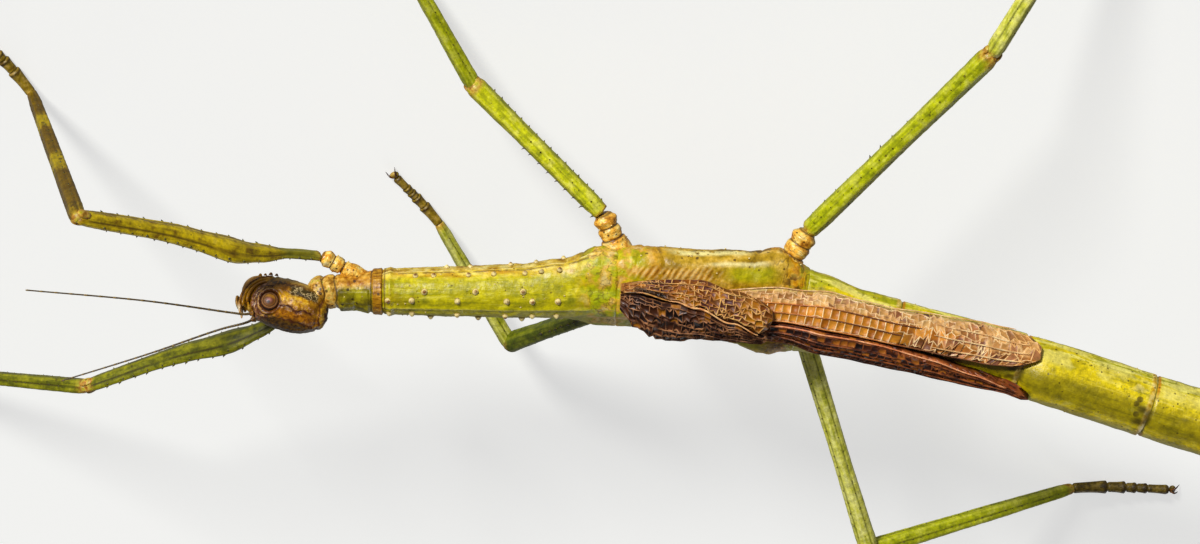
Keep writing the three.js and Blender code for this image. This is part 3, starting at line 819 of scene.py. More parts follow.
ink = Paint("flank_shell", coat=0.1)
along, turned = ink.along, ink.turned
mottle = ink.noise(0.8, detail=5, rough=0.6)
ink.ground(mottle, (0.34, 136, 108, 40), (0.47, 182, 148, 62), (0.58, 214, 176, 88), (0.7, 234, 206, 130))
root = ink.times(ink.step(along, -2.0, -0.8), ink.step(turned, 128, 112))
warm = ink.most(
    ink.times(ink.step(along, -2.6, -1.2), 0.8),
    ink.times(ink.band(along, -8.2, 0.7, 0.5), ink.step(turned, 100, 112)),
    ink.times(ink.step(along, -8.4, -9.2), 0.8),
)
orange = ink.ramp(
    ink.noise(0.45, seed=4), (0.34, 172, 104, 44), (0.5, 220, 152, 66), (0.62, 232, 184, 96),
    (0.74, 196, 184, 56),
)
ink.lay(orange, warm, 0.85)
ink.lay(ink.ramp(ink.noise(0.85, seed=17), *LEG_ROOT_TONES), root, 0.85)
strip = ink.times(
    ink.band(turned, 76, 6, 4), ink.step(along, -6.0, -4.4), ink.step(along, 0.1, -1.4),
    ink.patches(0.7, 0.34, 0.5, seed=27),
)
slant = ink.plus(ink.times(along, 4.8), ink.times(turned, 0.17))
slant = ink.plus(slant, ink.times(ink.noise(0.9, seed=21), 1.6))
stroke = ink.math("SINE", ink.times(slant, 3.7))
stroke = ink.plus(stroke, ink.times(ink.minus(ink.noise(0.25, seed=3), 0.5), 1.6))
hatch_tone = ink.ramp(
    ink.plus(ink.times(stroke, 0.4), 0.4), (0.0, 134, 84, 42), (0.2, 196, 140, 74), (0.5, 228, 178, 104),
    (0.85, 246, 216, 156),
)
ink.lay(hatch_tone, strip, 0.7)
green = ink.field((-6.9, 1.2, 0.6), (77, 6, 4))
ink.lay(ink.mix(mottle, (150, 156, 30), (196, 192, 60)), green, 0.75)
# A painted highlight along the soft fold of the flank.
fold_highlight = ink.field((-6.2, 1.5, 0.6), (86, 1.6, 2.5))
ink.lay((236, 224, 164), fold_highlight, 0.7)
cream = ink.field((-4.7, 1.9, 0.5), (104, 5, 3))
ink.lay((252, 238, 166), cream, ink.patches(0.5, 0.32, 0.42, seed=15), 0.9)
rear = ink.step(ink.plus(along, ink.times(ink.noise(0.5, seed=16), 1.6)), -8.5, -9.0)
ink.lay(ink.mix(mottle, (150, 146, 30), (208, 196, 72)), rear, 0.85)
belly = ink.mix(mottle, (146, 130, 58), (198, 184, 98))
ink.lay(belly, ink.step(turned, 132, 152))
# Painted shade: the back under the wings is painted dark brown.
hidden = ink.times(ink.step(turned, 60, 52), ink.step(along, -0.3, -0.9))
ink.lay((70, 40, 22), hidden)
rim = ink.band(turned, 109, 3, 4)
blots = ink.times(rim, ink.patches(0.35, 0.56, 0.62, seed=12), ink.step(along, -3.5, -4.2))
cream_dots = ink.times(
    ink.most(ink.band(along, -4.0, 0.04, 0.06), ink.band(along, -5.95, 0.03, 0.05)),
    ink.band(turned, 103, 1.5, 2),
)
front_blot = ink.times(ink.field((-7.0, 0.5, 0.25), (110, 4, 3)), ink.patches(0.4, 0.38, 0.48, seed=12))
hind_blot = ink.times(ink.field((-9.2, 0.5, 0.3), (74, 8, 6)), ink.patches(0.45, 0.44, 0.52, seed=14))
folds = ink.band(ink.streaks(0.5, 0.8, seed=12), 0.5, 0.012, 0.02)
folds = ink.times(folds, ink.step(along, -7.6, -8.6), ink.step(turned, 66, 74))
seams = ink.most(
    blots, hind_blot, cream_dots, front_blot, ink.times(folds, 0.8),
    ink.times(ink.spots(0.62, 0.17, seed=3), ink.patches(1.3, 0.5, 0.56, seed=22)),
)
ink.lay((58, 36, 20), seams, 0.8)
fine = ink.bump(ink.noise(0.1, detail=2), 0.02)
flank_paint = ink.finish(0.42, ink.noise(0.35), 0.06, under=fine)

bm = new_mesh()
add_length(bm, 0.3, -10.1, 170, 120, metathorax_lift)
for _ in range(26):
    add_wart(bm, random.uniform(-9.5, -0.5), random.choice((-1, 1)) * random.uniform(74, 140), 0.10, 0.07)
finish_piece(bm, "metathorax_shell", [flank_paint, wart_paint], ["metathorax"])

# %% [markdown]
# ## The hind body
# Ten rings make the hind body, in one skin, so that no gap can open between them. A ring swells
# towards its middle, ends in a raised pale rim, and a dark groove follows. A fold runs along each
# side between the back plates and the belly plates. The last rings are slimmer, with a
# scoop-shaped plate below.

# %% Hind body
RINGS = [-9.96, -15.1, -22.1, -29.2, -36.4, -43.5, -50.0, -56.1, -60.0, -63.3, -66.2]


def ring_share(x):
    """How far along its own ring a station is, from 0 to 1, and the nearest joint's distance."""
    index = sum(1 for station in RINGS[1:-1] if x < station)
    front, rear = RINGS[index], RINGS[index + 1]
    return (x - front) / (rear - front), min(abs(x - station) for station in RINGS[1:-1])


def abdomen_lift(x, angle):
    turned = abs(angle)
    share, joint = ring_share(x)
    share = min(max(share, 0.0), 1.0)
    lift = 0.03 * sin(pi * share) + 0.06 * share ** 10
    lift -= 0.10 * bell(joint, 0.07)
    lift += 0.05 * bell(turned - 95, 4) - 0.06 * bell(turned - 118, 4) * smooth(-x, 10, 12)
    lift += 0.03 * bell(turned, 3.5) * smooth(-x, 23, 25)
    lift += 0.025 * bell(turned - 35, 6) * sin(pi * share)
    scoop = smooth(-x, 55.2, 56.2) * smooth(x, -63.0, -62.6)
    lift += 0.12 * scoop * smooth(turned, 116, 128)
    lift -= 0.12 * smooth(-x, 65.0, 66.2) * bell(turned - 180, 60)
    point = Vector((x, angle / 30, 2.0))
    return lift + 0.03 * grain(point, 0.8) + 0.016 * grain(point, 0.25, 5) + 0.01 * grain(point, 0.1, 2)


ink = Paint("hind_body_shell", coat=0.12)
along, turned = ink.along, ink.turned
mottle = ink.noise(1.0, detail=5, rough=0.62)
ink.ground(mottle, (0.32, 150, 136, 20), (0.45, 202, 180, 36), (0.56, 226, 202, 60), (0.7, 242, 226, 118))
upper_green = ink.times(ink.step(turned, 60, 82), ink.step(ink.streaks(3.2, 0.4, seed=3), 0.42, 0.56))
ink.lay((142, 152, 36), upper_green, 0.7)
pale_side = ink.times(ink.step(turned, 56, 76), ink.step(ink.streaks(2.4, 0.3, seed=9), 0.46, 0.58))
ink.lay((232, 222, 128), pale_side, 0.9)
fine_streak = ink.streaks(2.2, 0.16, seed=19, detail=4)
ink.lay((128, 118, 22), ink.step(fine_streak, 0.55, 0.66), 0.55)
ink.lay((226, 208, 110), ink.step(fine_streak, 0.45, 0.34), 0.6)
lit_side = ink.times(ink.band(turned, 56, 14, 14), ink.patches(1.6, 0.36, 0.56, seed=33))
ink.lay((230, 218, 128), lit_side, 0.7)
# Painted shade: the back, near the middle line, is painted a darker olive.
ink.lay((112, 102, 18), ink.step(turned, 34, 12), 0.7)
granules = ink.times(
    ink.step(ink.noise(0.16, detail=2, seed=6), 0.55, 0.64),
    ink.step(ink.streaks(2.0, 0.8, seed=5), 0.48, 0.6),
)
ink.lay((116, 112, 26), granules, 0.6)
belly = ink.mix(mottle, (150, 146, 56), (200, 192, 96))
ink.lay(belly, ink.step(turned, 112, 128))
# Painted shade: the back under the hind wings is painted dark brown.
bed = ink.times(ink.step(turned, 56, 46), ink.step(along, -19.6, -18.4))
ink.lay(ink.ramp(ink.noise(0.4, seed=12), (0.4, 44, 26, 12), (0.6, 92, 72, 22)), bed)
ink.lay((150, 118, 52), ink.step(along, -45, -62), 0.5)


def near_joints(behind, half, soft):
    """A band across the body at every joint, that many millimetres behind it."""
    return ink.most(*[ink.band(along, joint - behind, half, soft) for joint in RINGS[1:-1]])


rims = near_joints(-0.18, 0.13, 0.08)
ink.lay(
    ink.ramp(ink.noise(0.3, seed=8), (0.36, 196, 150, 62), (0.56, 232, 206, 128), (0.7, 236, 220, 160)),
    rims, 0.8,
)
ink.lay((182, 112, 50), near_joints(0.10, 0.07, 0.06), ink.step(turned, 30, 60), 0.8)
# Painted highlights on the upper flanks, a little before each joint.
joint_highlight = ink.times(
    near_joints(-0.95, 0.35, 0.45), ink.band(turned, 52, 12, 10), ink.patches(0.6, 0.46, 0.6, seed=2),
)
ink.lay((232, 218, 150), joint_highlight, 0.5)
lines = near_joints(0, 0.02, 0.05)
spots = ink.times(near_joints(-0.8, 0.28, 0.2), ink.spots(0.62, 0.34, seed=7), ink.step(turned, 70, 60))
low_blots = ink.times(near_joints(-0.45, 0.3, 0.2), ink.band(turned, 12, 7, 5))
seam_foot = ink.times(near_joints(-0.1, 0.22, 0.12), ink.step(turned, 22, 10))
dark = ink.most(lines, spots, low_blots, seam_foot, ink.spots(0.5, 0.14, seed=4))
ink.lay((64, 52, 20), dark, 0.78)
fine = ink.bump(ink.noise(0.09, detail=2), 0.018)
hind_body_paint = ink.finish(0.38, ink.noise(0.4), 0.04, under=fine)

bm = new_mesh()
add_length(bm, -9.7, -66.3, 470, 80, abdomen_lift, tuck=0.3)
random.seed(9)
for _ in range(70):
    add_wart(bm, random.uniform(-62, -12), random.choice((-1, 1)) * random.uniform(62, 150), 0.07, 0.06)
finish_piece(
    bm, "abdomen_skin", [hind_body_paint, wart_paint],
    [f"abdomen_{ring}" for ring in range(1, 11)],
)

# %% [markdown]
# ## The cerci
# Two short flattened feelers end the hind body, a little waisted at the root, blunt at the tip.

# %% Cerci
for hand, mark in SIDES:
    root = body_surface(-66.22, hand * radians(75), -0.32)
    tip = root + Vector((-1.05, -hand * 0.12, -0.12))
    line = curve_through([root, root.lerp(tip, 0.5) + Vector((0, -hand * 0.05, 0.03)), tip])
    girth = lambda t: (0.30 - 0.02 * t) * (0.72 + 0.28 * smooth(t, 0, 0.4)) * rounded(t, 0, 0.35)
    bm = new_mesh()
    add_tube(
        bm, along_line(line, lambda t: (girth(t), girth(t) * 0.72)), along=(-66.2, -67.2), rings=26,
        crowd=0.6,
    )
    finish_piece(bm, f"cercus_leaf_{mark}", [hind_body_paint], [f"cercus_{mark}"])

# %% [markdown]
# ## The legs' measures
# Each leg is a coxa with the small trochanter, a femur, a tibia and a foot of five joints. Left
# and right legs are alike; only the places of the knee and the ankle differ, because the animal
# is walking. A table holds the girth of every section, and another the pose.

# %% Tables of the legs
LEG_KINDS = {
    "fore": {
        "coxa": (14.1, 0.55, 0.45), "hip": (16.4, 1.72, 1.05), "radii": (0.5, 0.42),
        "femur": [(0, 0.32), (0.14, 0.29), (0.26, 0.57), (0.38, 0.82), (0.52, 0.68), (0.75, 0.57),
                  (0.92, 0.54), (1, 0.46)],
        "flat": 0.62, "bow": 0.62, "keels": 4,
        "tibia": [(0, 0.38), (0.05, 0.47), (0.14, 0.46), (0.5, 0.42), (0.9, 0.36), (1, 0.30)],
        "tarsus": 5.1,
    },
    "mid": {
        "coxa": (-0.1, 1.3, 1.1), "hip": (1.0, 3.74, 2.3), "radii": (0.82, 0.58),
        "femur": [(0, 0.50), (0.1, 0.55), (0.6, 0.55), (0.86, 0.60), (0.95, 0.63), (1, 0.48)],
        "flat": 0.9, "bow": 0, "keels": 5,
        "tibia": [(0, 0.41), (0.06, 0.52), (0.16, 0.50), (0.5, 0.45), (0.92, 0.38), (1, 0.31)],
        "tarsus": 4.3,
    },
    "hind": {
        "coxa": (-8.7, 1.3, 1.1), "hip": (-10.25, 3.95, 2.45), "radii": (0.85, 0.64),
        "femur": [(0, 0.56), (0.08, 0.60), (0.55, 0.55), (0.86, 0.61), (0.95, 0.64), (1, 0.48)],
        "flat": 0.9, "bow": 0, "keels": 5,
        "tibia": [(0, 0.42), (0.05, 0.57), (0.15, 0.55), (0.5, 0.49), (0.93, 0.40), (1, 0.33)],
        "tarsus": 6.2,
    },
}
STANCE = {
    "fore_R": ((28.4, -10.45, 14.36), (32.8, -6.6, 0.46), -57),
    "fore_L": ((30.4, 9.85, 7.2), (42.5, 15.7, 0.46), 26),
    "mid_R": ((8.2, -9.7, 2.6), (12.3, -17.65, 0.46), -63),
    "mid_L": ((6.5, 10.95, 2.1), (10.5, 2.86, 0.46), -54),
    "hind_R": ((-19.6, -15.6, 6.1), (-27.4, -28.6, 0.46), -127),
    "hind_L": ((-14.5, 19.36, 10.07), (-27.2, 24.26, 0.46), 177),
}
SOLE_HEIGHT = 0.2
FOOT_RADIUS = {"fore": 0.37, "mid": 0.35, "hind": 0.40}
FOOT_JOINTS = [0, 0.36, 0.55, 0.66, 0.77, 1]

# %% [markdown]
# ## Paint for the legs
# The femora of the middle and hind legs are a bright yellow-green with dark dots, warmer towards
# both ends. The tibiae are paler. On every limb the grooves between the keels get painted shade
# and the keels a painted highlight. The right fore leg is brown, and its tibia is banded. The left
# fore leg and the left middle femur get darker tones, which are painted shade. One recipe with a
# few tones makes them all.

# %% Leg paint


def limb_paint(
    name, dark, main, light, length, warm_ends=(0.2, 0.2), keels=4, bands=(), dots=0.22, groove=0.5,
):
    """Paint for a limb: three tones, warm ends, cross bands and dark dots.

    The grooves between the keels get painted shade, and the keels a painted highlight.
    """
    ink = Paint(name, coat=0.1)
    cloud = ink.noise(0.7, detail=4, rough=0.6)
    ink.ground(cloud, (0.34, *dark), (0.48, *main), (0.66, *light))
    streak = ink.streaks(1.6, 0.14, seed=3, radius=0.45)
    ink.lay(dark, ink.step(streak, 0.54, 0.66), 0.55)
    ink.lay(light, ink.step(streak, 0.46, 0.36), 0.6)
    # Painted shade in the grooves and a painted highlight on the keels, on the cosine that raises them.
    keel = ink.math("COSINE", ink.times(ink.angle, keels * pi / 180))
    ink.lay(dark, ink.step(keel, -0.55, -0.95), groove)
    ink.lay(light, ink.step(keel, 0.75, 0.98), 0.45)
    # A broken darker line of painted shade in the deepest part of each groove.
    broken = ink.patches(1.4, 0.34, 0.46, seed=15)
    ink.lay((58, 46, 14), ink.step(keel, -0.90, -0.985), broken, groove)
    wavy = ink.plus(ink.along, ink.times(ink.minus(cloud, 0.5), 1.2))
    for start, end, band_tone in bands:
        middle, half = (start + end) / 2 * length, (end - start) / 2 * length
        ink.lay(band_tone, ink.band(wavy, middle, half, 0.25), 0.74)
    near, far = warm_ends
    ends = ink.most(
        ink.step(wavy, length - far - 0.5, length - far * 0.4), ink.step(wavy, near + 0.3, near * 0.3),
    )
    warm_tone = ink.ramp(
        ink.noise(0.28, seed=6), (0.34, 136, 88, 38), (0.46, 196, 142, 80), (0.58, 214, 186, 96),
        (0.7, 186, 176, 58),
    )
    ink.lay(warm_tone, ends, 0.9)
    specks = ink.most(ink.spots(0.66, dots * 0.62, seed=5), ink.spots(0.3, dots * 0.5, seed=9))
    ink.lay((70, 56, 20), specks, 0.72)
    fine = ink.bump(ink.noise(0.08, detail=2), 0.018)
    return ink.finish(0.42, streak, 0.025, under=fine, depth=0.36)


LIME = ((158, 164, 34), (206, 206, 50), (230, 226, 110))
GREEN = ((146, 154, 28), (186, 190, 48), (208, 208, 96))
# The olive tones of the left fore leg and the SHADED tones of the left middle femur are painted shade.
SHADED_OLIVE = ((74, 76, 16), (112, 112, 26), (152, 148, 54))
PALE = ((158, 162, 58), (208, 206, 90), (234, 230, 140))
SHADED = ((62, 72, 14), (96, 106, 26), (132, 136, 50))
CREAM = ((178, 180, 72), (226, 222, 108), (244, 240, 156))
BROWN = ((122, 94, 20), (190, 164, 34), (220, 194, 82))
DARK_BAND, YELLOW_BAND = (96, 72, 22), (176, 154, 54)

leg_paints = {
    "femur_fore_R": limb_paint(
        "ochre_thigh", *BROWN, 16.2, (0.3, 0.1), bands=[(-0.02, 0.17, (120, 122, 52))], dots=0.12,
        groove=0.6,
    ),
    "tibia_fore_R": limb_paint(
        "banded_shin", (78, 58, 16), (128, 104, 32), (160, 134, 58), 15.1, (0.2, 0.1), dots=0.3,
        bands=[
            (0.08, 0.34, DARK_BAND), (0.36, 0.46, YELLOW_BAND), (0.48, 0.67, DARK_BAND),
            (0.69, 0.77, YELLOW_BAND), (0.79, 0.98, DARK_BAND),
        ],
    ),
    # Painted shade: the left fore leg is painted in darker olive tones.
    "femur_fore_L": limb_paint("shaded_olive_thigh", *SHADED_OLIVE, 16.2, (0.4, 0.5), groove=0.7),
    "tibia_fore_L": limb_paint("shaded_olive_shin", *SHADED_OLIVE, 15.1, (0.7, 0.2), groove=0.7),
    "femur_mid": limb_paint("lime_thigh", *LIME, 10.1, (0.15, 0.35), 5, dots=0.24, groove=0.22),
    "tibia_mid": limb_paint("pale_shin_mid", *PALE, 9.2, dots=0.1),
    "femur_hind": limb_paint("green_thigh", *GREEN, 15.7, (0.3, 0.5), 5, dots=0.24, groove=0.25),
    "femur_mid_L": limb_paint("shaded_thigh", *SHADED, 10.1, (0.15, 0.35), 5, dots=0.2, groove=0.3),
    "tibia_mid_R": limb_paint("green_shin_mid", *GREEN, 9.2, dots=0.12, groove=0.3),
    "tibia_hind_L": limb_paint("green_shin", *GREEN, 16.3, dots=0.1),
    "femur_hind_L": limb_paint("pale_thigh", *CREAM, 15.7, (0.3, 0.5), 5, dots=0.14),
    "tibia_hind": limb_paint("pale_shin_hind", *PALE, 16.3, dots=0.1),
}

ink = Paint("hip_shell", coat=0.18)
cloud = ink.noise(0.5, detail=4, rough=0.6)
ink.ground(cloud, (0.32, 166, 104, 42), (0.44, 246, 180, 82), (0.55, 255, 212, 112), (0.68, 255, 234, 164))
along = ink.along
rings = ink.most(
    ink.band(along, 0.50, 0.012, 0.022), ink.band(along, 0.74, 0.010, 0.018),
    ink.times(ink.band(along, 0.985, 0.012, 0.02), 0.9), ink.spots(0.4, 0.2, seed=4),
)
ink.lay((44, 24, 12), rings, 0.85)
wrinkle = ink.streaks(0.05, 0.5, seed=8, radius=0.5)
ink.lay((110, 64, 34), ink.band(wrinkle, 0.47, 0.01, 0.03), 0.6)
hip_paint = ink.finish(0.36, wrinkle, 0.04, strength=1.06)

# %% [markdown]
# ## Thighs, shins and hips
# A femur is a keeled tube: a cosine round the tube raises four or five low keels, which fade at
# the ends. Fine teeth stand on the keels. At the knee two orange lobes clasp the head of the
# tibia. The coxa and trochanter are one piece of three swellings with dark grooves between them.

# %% Leg sections
TEETH = {
    "fore": [(14, 0.05, 0.95, 0.86, 0.15, 0.085), (-14, 0.07, 0.95, 0.95, 0.12, 0.07),
             (166, 0.2, 0.95, 0.90, 0.13, 0.08), (-166, 0.22, 0.95, 1.05, 0.12, 0.07)],
    "mid": [(-40, 0.03, 0.62, 0.60, 0.26, 0.085), (140, 0.06, 0.93, 0.55, 0.12, 0.07),
            (180, 0.08, 0.9, 0.7, 0.12, 0.06), (36, 0.1, 0.62, 0.72, 0.06, 0.06)],
    "hind": [(-150, 0.04, 0.62, 0.95, 0.2, 0.085), (150, 0.06, 0.9, 0.7, 0.13, 0.07),
             (-40, 0.05, 0.9, 0.8, 0.10, 0.06), (36, 0.08, 0.9, 0.9, 0.06, 0.05)],
}
HIP_SWELLINGS = [(0.55, 1.05), (0.66, 1.1), (0.735, 0.98), (0.76, 1), (0.87, 1.16), (0.97, 0.8), (1, 0.6)]
SHIN_TEETH = [(45, 0.12, 0.94, 0.62, 0.09, 0.05), (-45, 0.14, 0.94, 0.66, 0.09, 0.05),
              (-135, 0.12, 0.94, 0.58, 0.11, 0.05), (135, 0.14, 0.94, 0.62, 0.11, 0.05)]


def leg_points(name):
    kind_name, mark = name.split("_")
    kind = LEG_KINDS[kind_name]
    hand = RIGHT if mark == "R" else LEFT
    place = lambda x, out, down: axis_point(x) + Vector((0, -hand * out, -down))
    knee, ankle, heading = STANCE[name]
    toward = Vector((cos(radians(heading)), sin(radians(heading)), 0))
    heel = Vector(ankle) + toward * 0.2
    heel.z = ankle[2] - 0.06
    toe = heel + toward * (kind["tarsus"] - 0.6)
    toe.z = SOLE_HEIGHT
    return {
        "kind": kind, "kind_name": kind_name, "hand": hand, "toward": toward, "base": place(*kind["coxa"]),
        "hip": place(*kind["hip"]), "knee": Vector(knee), "ankle": Vector(ankle), "heel": heel, "toe": toe,
    }


def keeled(count, height, length):
    """A lift that raises keels along a limb and lets them fade at both ends."""

    def lift(t, angle):
        fade = smooth(t, 0.01, 0.08) * smooth(1 - t, 0.03, 0.12)
        point = Vector((t * length, angle * 1.3, length))
        keels = height * cos(count * angle) * fade
        return keels + 0.014 * grain(point, 0.3) + 0.008 * grain(point, 0.12, 4)

    return lift


def add_teeth(bm, place, line, length, rows, hand, material=1):
    """Rows of teeth on a limb: angle, first and last share, spacing, height and radius."""
    for angle, first, last, spacing, height, radius in rows:
        count = int((last - first) * length / spacing)
        for index in range(count):
            t = first + (last - first) * (index + random.uniform(-0.18, 0.18)) / count
            turned = hand * radians(angle + random.uniform(-5, 5))
            root = place(max(t, 0.01), turned, 1.0)
            forward = (line(t + 0.01) - line(t - 0.01)).normalized()
            way = (root - line(t)).normalized() + forward * 0.35
            size = random.uniform(0.75, 1.15)
            add_thorn(bm, root, way, height * size, radius * size, (t * length, 0, 1), material, sides=6)


def make_hip(name, leg):
    thick, thin = leg["kind"]["radii"]
    rows = [(0, thick), (0.25, thick * 1.02), (0.46, thick * 0.86), (0.50, thick * 0.72)]
    rows += [(t, thin * share) for t, share in HIP_SWELLINGS]
    line = straight(leg["base"], leg["hip"])

    def lift(t, angle):
        point = Vector((t * 3, angle * 0.8, leg["hand"] * thick))
        pinch = -0.05 * bell(t - 0.5, 0.018) - 0.045 * bell(t - 0.74, 0.015)
        return pinch + 0.035 * grain(point, 0.5) + 0.015 * grain(point, 0.2, 2)

    bm = new_mesh()
    place = along_line(line, lambda t: (between(rows, t), between(rows, t)), lift=lift)
    add_tube(bm, place, along=(0, 1), sides=36, rings=70, crowd=0.2)
    rows_of_teeth = [(a, 0.4, 0.95, 0.5, 0.10, 0.07) for a in (40, -50, 130, -140)]
    length = (leg["hip"] - leg["base"]).length
    add_teeth(bm, place, line, length, rows_of_teeth, leg["hand"])
    return finish_piece(bm, f"hip_{name}", [hip_paint, wart_paint], [f"coxa_{name}"])


def finish_limb(bm, piece, bone, name):
    """Ends a thigh or a shin, with a paint of its own or that of its pair of legs."""
    skin = leg_paints.get(f"{bone}_{name}") or leg_paints[f"{bone}_{name[:-2]}"]
    finish_piece(bm, f"{piece}_{name}", [skin, tooth_paint], [f"{bone}_{name}"])


def make_thigh(name, leg):
    kind = leg["kind"]
    length = (leg["knee"] - leg["hip"]).length
    beyond = leg["hip"].lerp(leg["knee"], 1 + 0.14 / length)
    base_line = straight(leg["hip"].lerp(leg["knee"], 0.004), beyond)
    line = lambda t: base_line(t) + Vector((0, 0, kind["bow"] * bell(t - 0.34, 0.2)))
    width = lambda t: between(kind["femur"], t) * rounded(t, 0.012, 0.02)
    lift = keeled(kind["keels"], 0.05 if leg["kind_name"] == "fore" else 0.03, length)
    place = along_line(line, lambda t: (width(t) * kind["flat"], width(t)), lift=lift)
    bm = new_mesh()
    add_tube(bm, place, along=(0, length), sides=30, rings=int(length / 0.13), crowd=0.25)
    random.seed(name)
    add_teeth(bm, place, line, length, TEETH[leg["kind_name"]], leg["hand"])
    forward = (leg["knee"] - leg["hip"]).normalized()
    side = forward.cross(Vector((0, 0, 1))).normalized()
    reach = between(kind["femur"], 0.95)
    for hand in (1, -1):
        start = leg["knee"] - forward * 0.72 + side * (hand * reach * 0.48)
        end = leg["knee"] + forward * 0.24 + side * (hand * reach * 0.72)
        lobe = lambda t: 0.28 * rounded(t, 0.5, 0.45)
        lobe_place = along_line(straight(start, end), lambda t: (lobe(t) * 0.5, lobe(t)))
        add_tube(bm, lobe_place, along=(length, length), sides=16, rings=14, crowd=0.7)
    finish_limb(bm, "thigh", "femur", name)


def make_shin(name, leg):
    kind = leg["kind"]
    length = (leg["ankle"] - leg["knee"]).length
    line = straight(leg["knee"].lerp(leg["ankle"], -0.3 / length), leg["ankle"])
    width = lambda t: between(kind["tibia"], t) * rounded(t, 0.025, 0.02)
    place = along_line(line, lambda t: (width(t) * 0.85, width(t)), lift=keeled(4, 0.045, length))
    bm = new_mesh()
    add_tube(bm, place, along=(0, length), sides=26, rings=int(length / 0.14), crowd=0.25)
    random.seed(name + "shin")
    add_teeth(bm, place, line, length, SHIN_TEETH, leg["hand"])
    finish_limb(bm, "shin", "tibia", name)


# %% [markdown]
# ## Feet and claws
# A foot has five joints, the first and the last the longest. Each joint widens towards its end
# and carries a soft pad below, which rests on the floor. Two curved claws and a round pad between
# them end the foot. The claws are horn, so they are a separate piece with a glossy dark paint.

# %% Foot and claw paints
def foot_paint(name, dark, main, light):
    """Paint for a foot: mottled, dark at the end of each joint, with pale pads below."""
    ink = Paint(name, coat=0.1)
    ink.ground(ink.noise(0.35, detail=4), (0.34, *dark), (0.5, *main), (0.66, *light))
    ends = ink.most(*[ink.band(ink.along, joint - 0.025, 0.018, 0.02) for joint in FOOT_JOINTS[1:]])
    ink.lay((46, 30, 16), ends, 0.75)
    pads = ink.times(ink.step(ink.turned, 118, 140), ink.step(ends, 0.1, 0.6))
    ink.lay((196, 184, 120), pads)
    return ink.finish(0.45, ink.noise(0.08), 0.02)


tan_foot = foot_paint("tan_foot", (112, 84, 34), (164, 138, 58), (208, 174, 100))
dark_foot = foot_paint("dark_foot", (66, 52, 20), (104, 86, 34), (146, 124, 62))

ink = Paint("claw_horn", specular=0.6, coat=0.3)
ink.ground(ink.tip, (0.1, 128, 78, 36), (0.7, 48, 24, 14))
claw_paint = ink.finish(0.25, ink.noise(0.1), 0.008)

# %% [markdown]
# ## Joints and claws
# A foot is one tube whose width follows its joints. Its line comes down from the ankle in a curve
# and then runs along the floor, and no vertex is let through the floor.

# %% Feet


def make_foot(name, leg):
    heel, toe, toward = leg["heel"], leg["toe"], leg["toward"]
    shin_way = (leg["ankle"] - leg["knee"]).normalized()
    start = leg["ankle"] - shin_way * 0.15

    def line(t):
        point = start.lerp(toe, t) if t >= 0 else start + (toe - start) * t
        point.z = SOLE_HEIGHT + 0.02 + (start.z - SOLE_HEIGHT) * max(0.0, 1 - t * 1.15) ** 3
        return point

    def width(t):
        index = min(sum(1 for joint in FOOT_JOINTS[1:-1] if t > joint), 4)
        share = (t - FOOT_JOINTS[index]) / (FOOT_JOINTS[index + 1] - FOOT_JOINTS[index])
        flare = 0.78 + 0.26 * max(share, 0) ** 3
        joint = min(abs(t - place) for place in FOOT_JOINTS[1:-1])
        slim = (1.0, 0.98, 0.9, 0.86, 0.8)[index]
        radius = FOOT_RADIUS[leg["kind_name"]] * slim * rounded(t, 0.03, 0.05)
        return radius * (flare - 0.26 * bell(joint, 0.011))

    def place(t, angle, reach):
        point = foot_line(t, angle, reach)
        point.z = max(point.z, 0.0)
        return point

    foot_line = along_line(line, lambda t: (width(t), width(t) * 1.02))
    bm = new_mesh()
    add_tube(bm, place, along=(0, 1), sides=20, rings=90)
    pad = toe + toward * 0.16
    pad.z = 0.17
    pad_line = straight(pad - toward * 0.2, pad + toward * 0.22)
    pad_size = lambda t: (0.29 * rounded(t, 0.5, 0.5), 0.17 * rounded(t, 0.5, 0.5))
    add_tube(bm, along_line(pad_line, pad_size), along=(0.5, 0.5), sides=16, rings=14, crowd=0.7)
    shade = dark_foot if leg["kind_name"] == "hind" else tan_foot
    finish_piece(bm, f"foot_{name}", [shade], [f"tarsus_{name}"])

    bm = new_mesh()
    for hand in (1, -1):
        way = Matrix.Rotation(hand * radians(32), 3, "Z") @ toward
        root = toe + way * 0.05 + Vector((0, 0, 0.02))
        bow = [root, root + way * 0.3 + Vector((0, 0, 0.10)), root + way * 0.55 + toward * 0.06]
        bow[2].z = 0.06
        claw = curve_through(bow)
        claw_size = lambda t: (0.075 * (1 - 0.85 * t ** 1.5), 0.085 * (1 - 0.85 * t ** 1.5))
        add_tube(bm, along_line(claw, claw_size), sides=12, rings=14, tip=lambda t: t)
    finish_piece(bm, f"claws_{name}", [claw_paint])


for leg_name in STANCE:
    leg = leg_points(leg_name)
    make_hip(leg_name, leg)
    make_thigh(leg_name, leg)
    make_shin(leg_name, leg)
    make_foot(leg_name, leg)

# %% [markdown]
# ## Where the wings lie
# The short fore wings, the tegmina, cover the roots of the longer hind wings, and both pairs lie
# close on the back. A place on a wing is given by u across it, from its inner to its outer edge,
# by v along it and by a height. The function below turns that into a place on the trunk. So a
# wing is made flat, as a net of cells, and laid on the back as the last step.

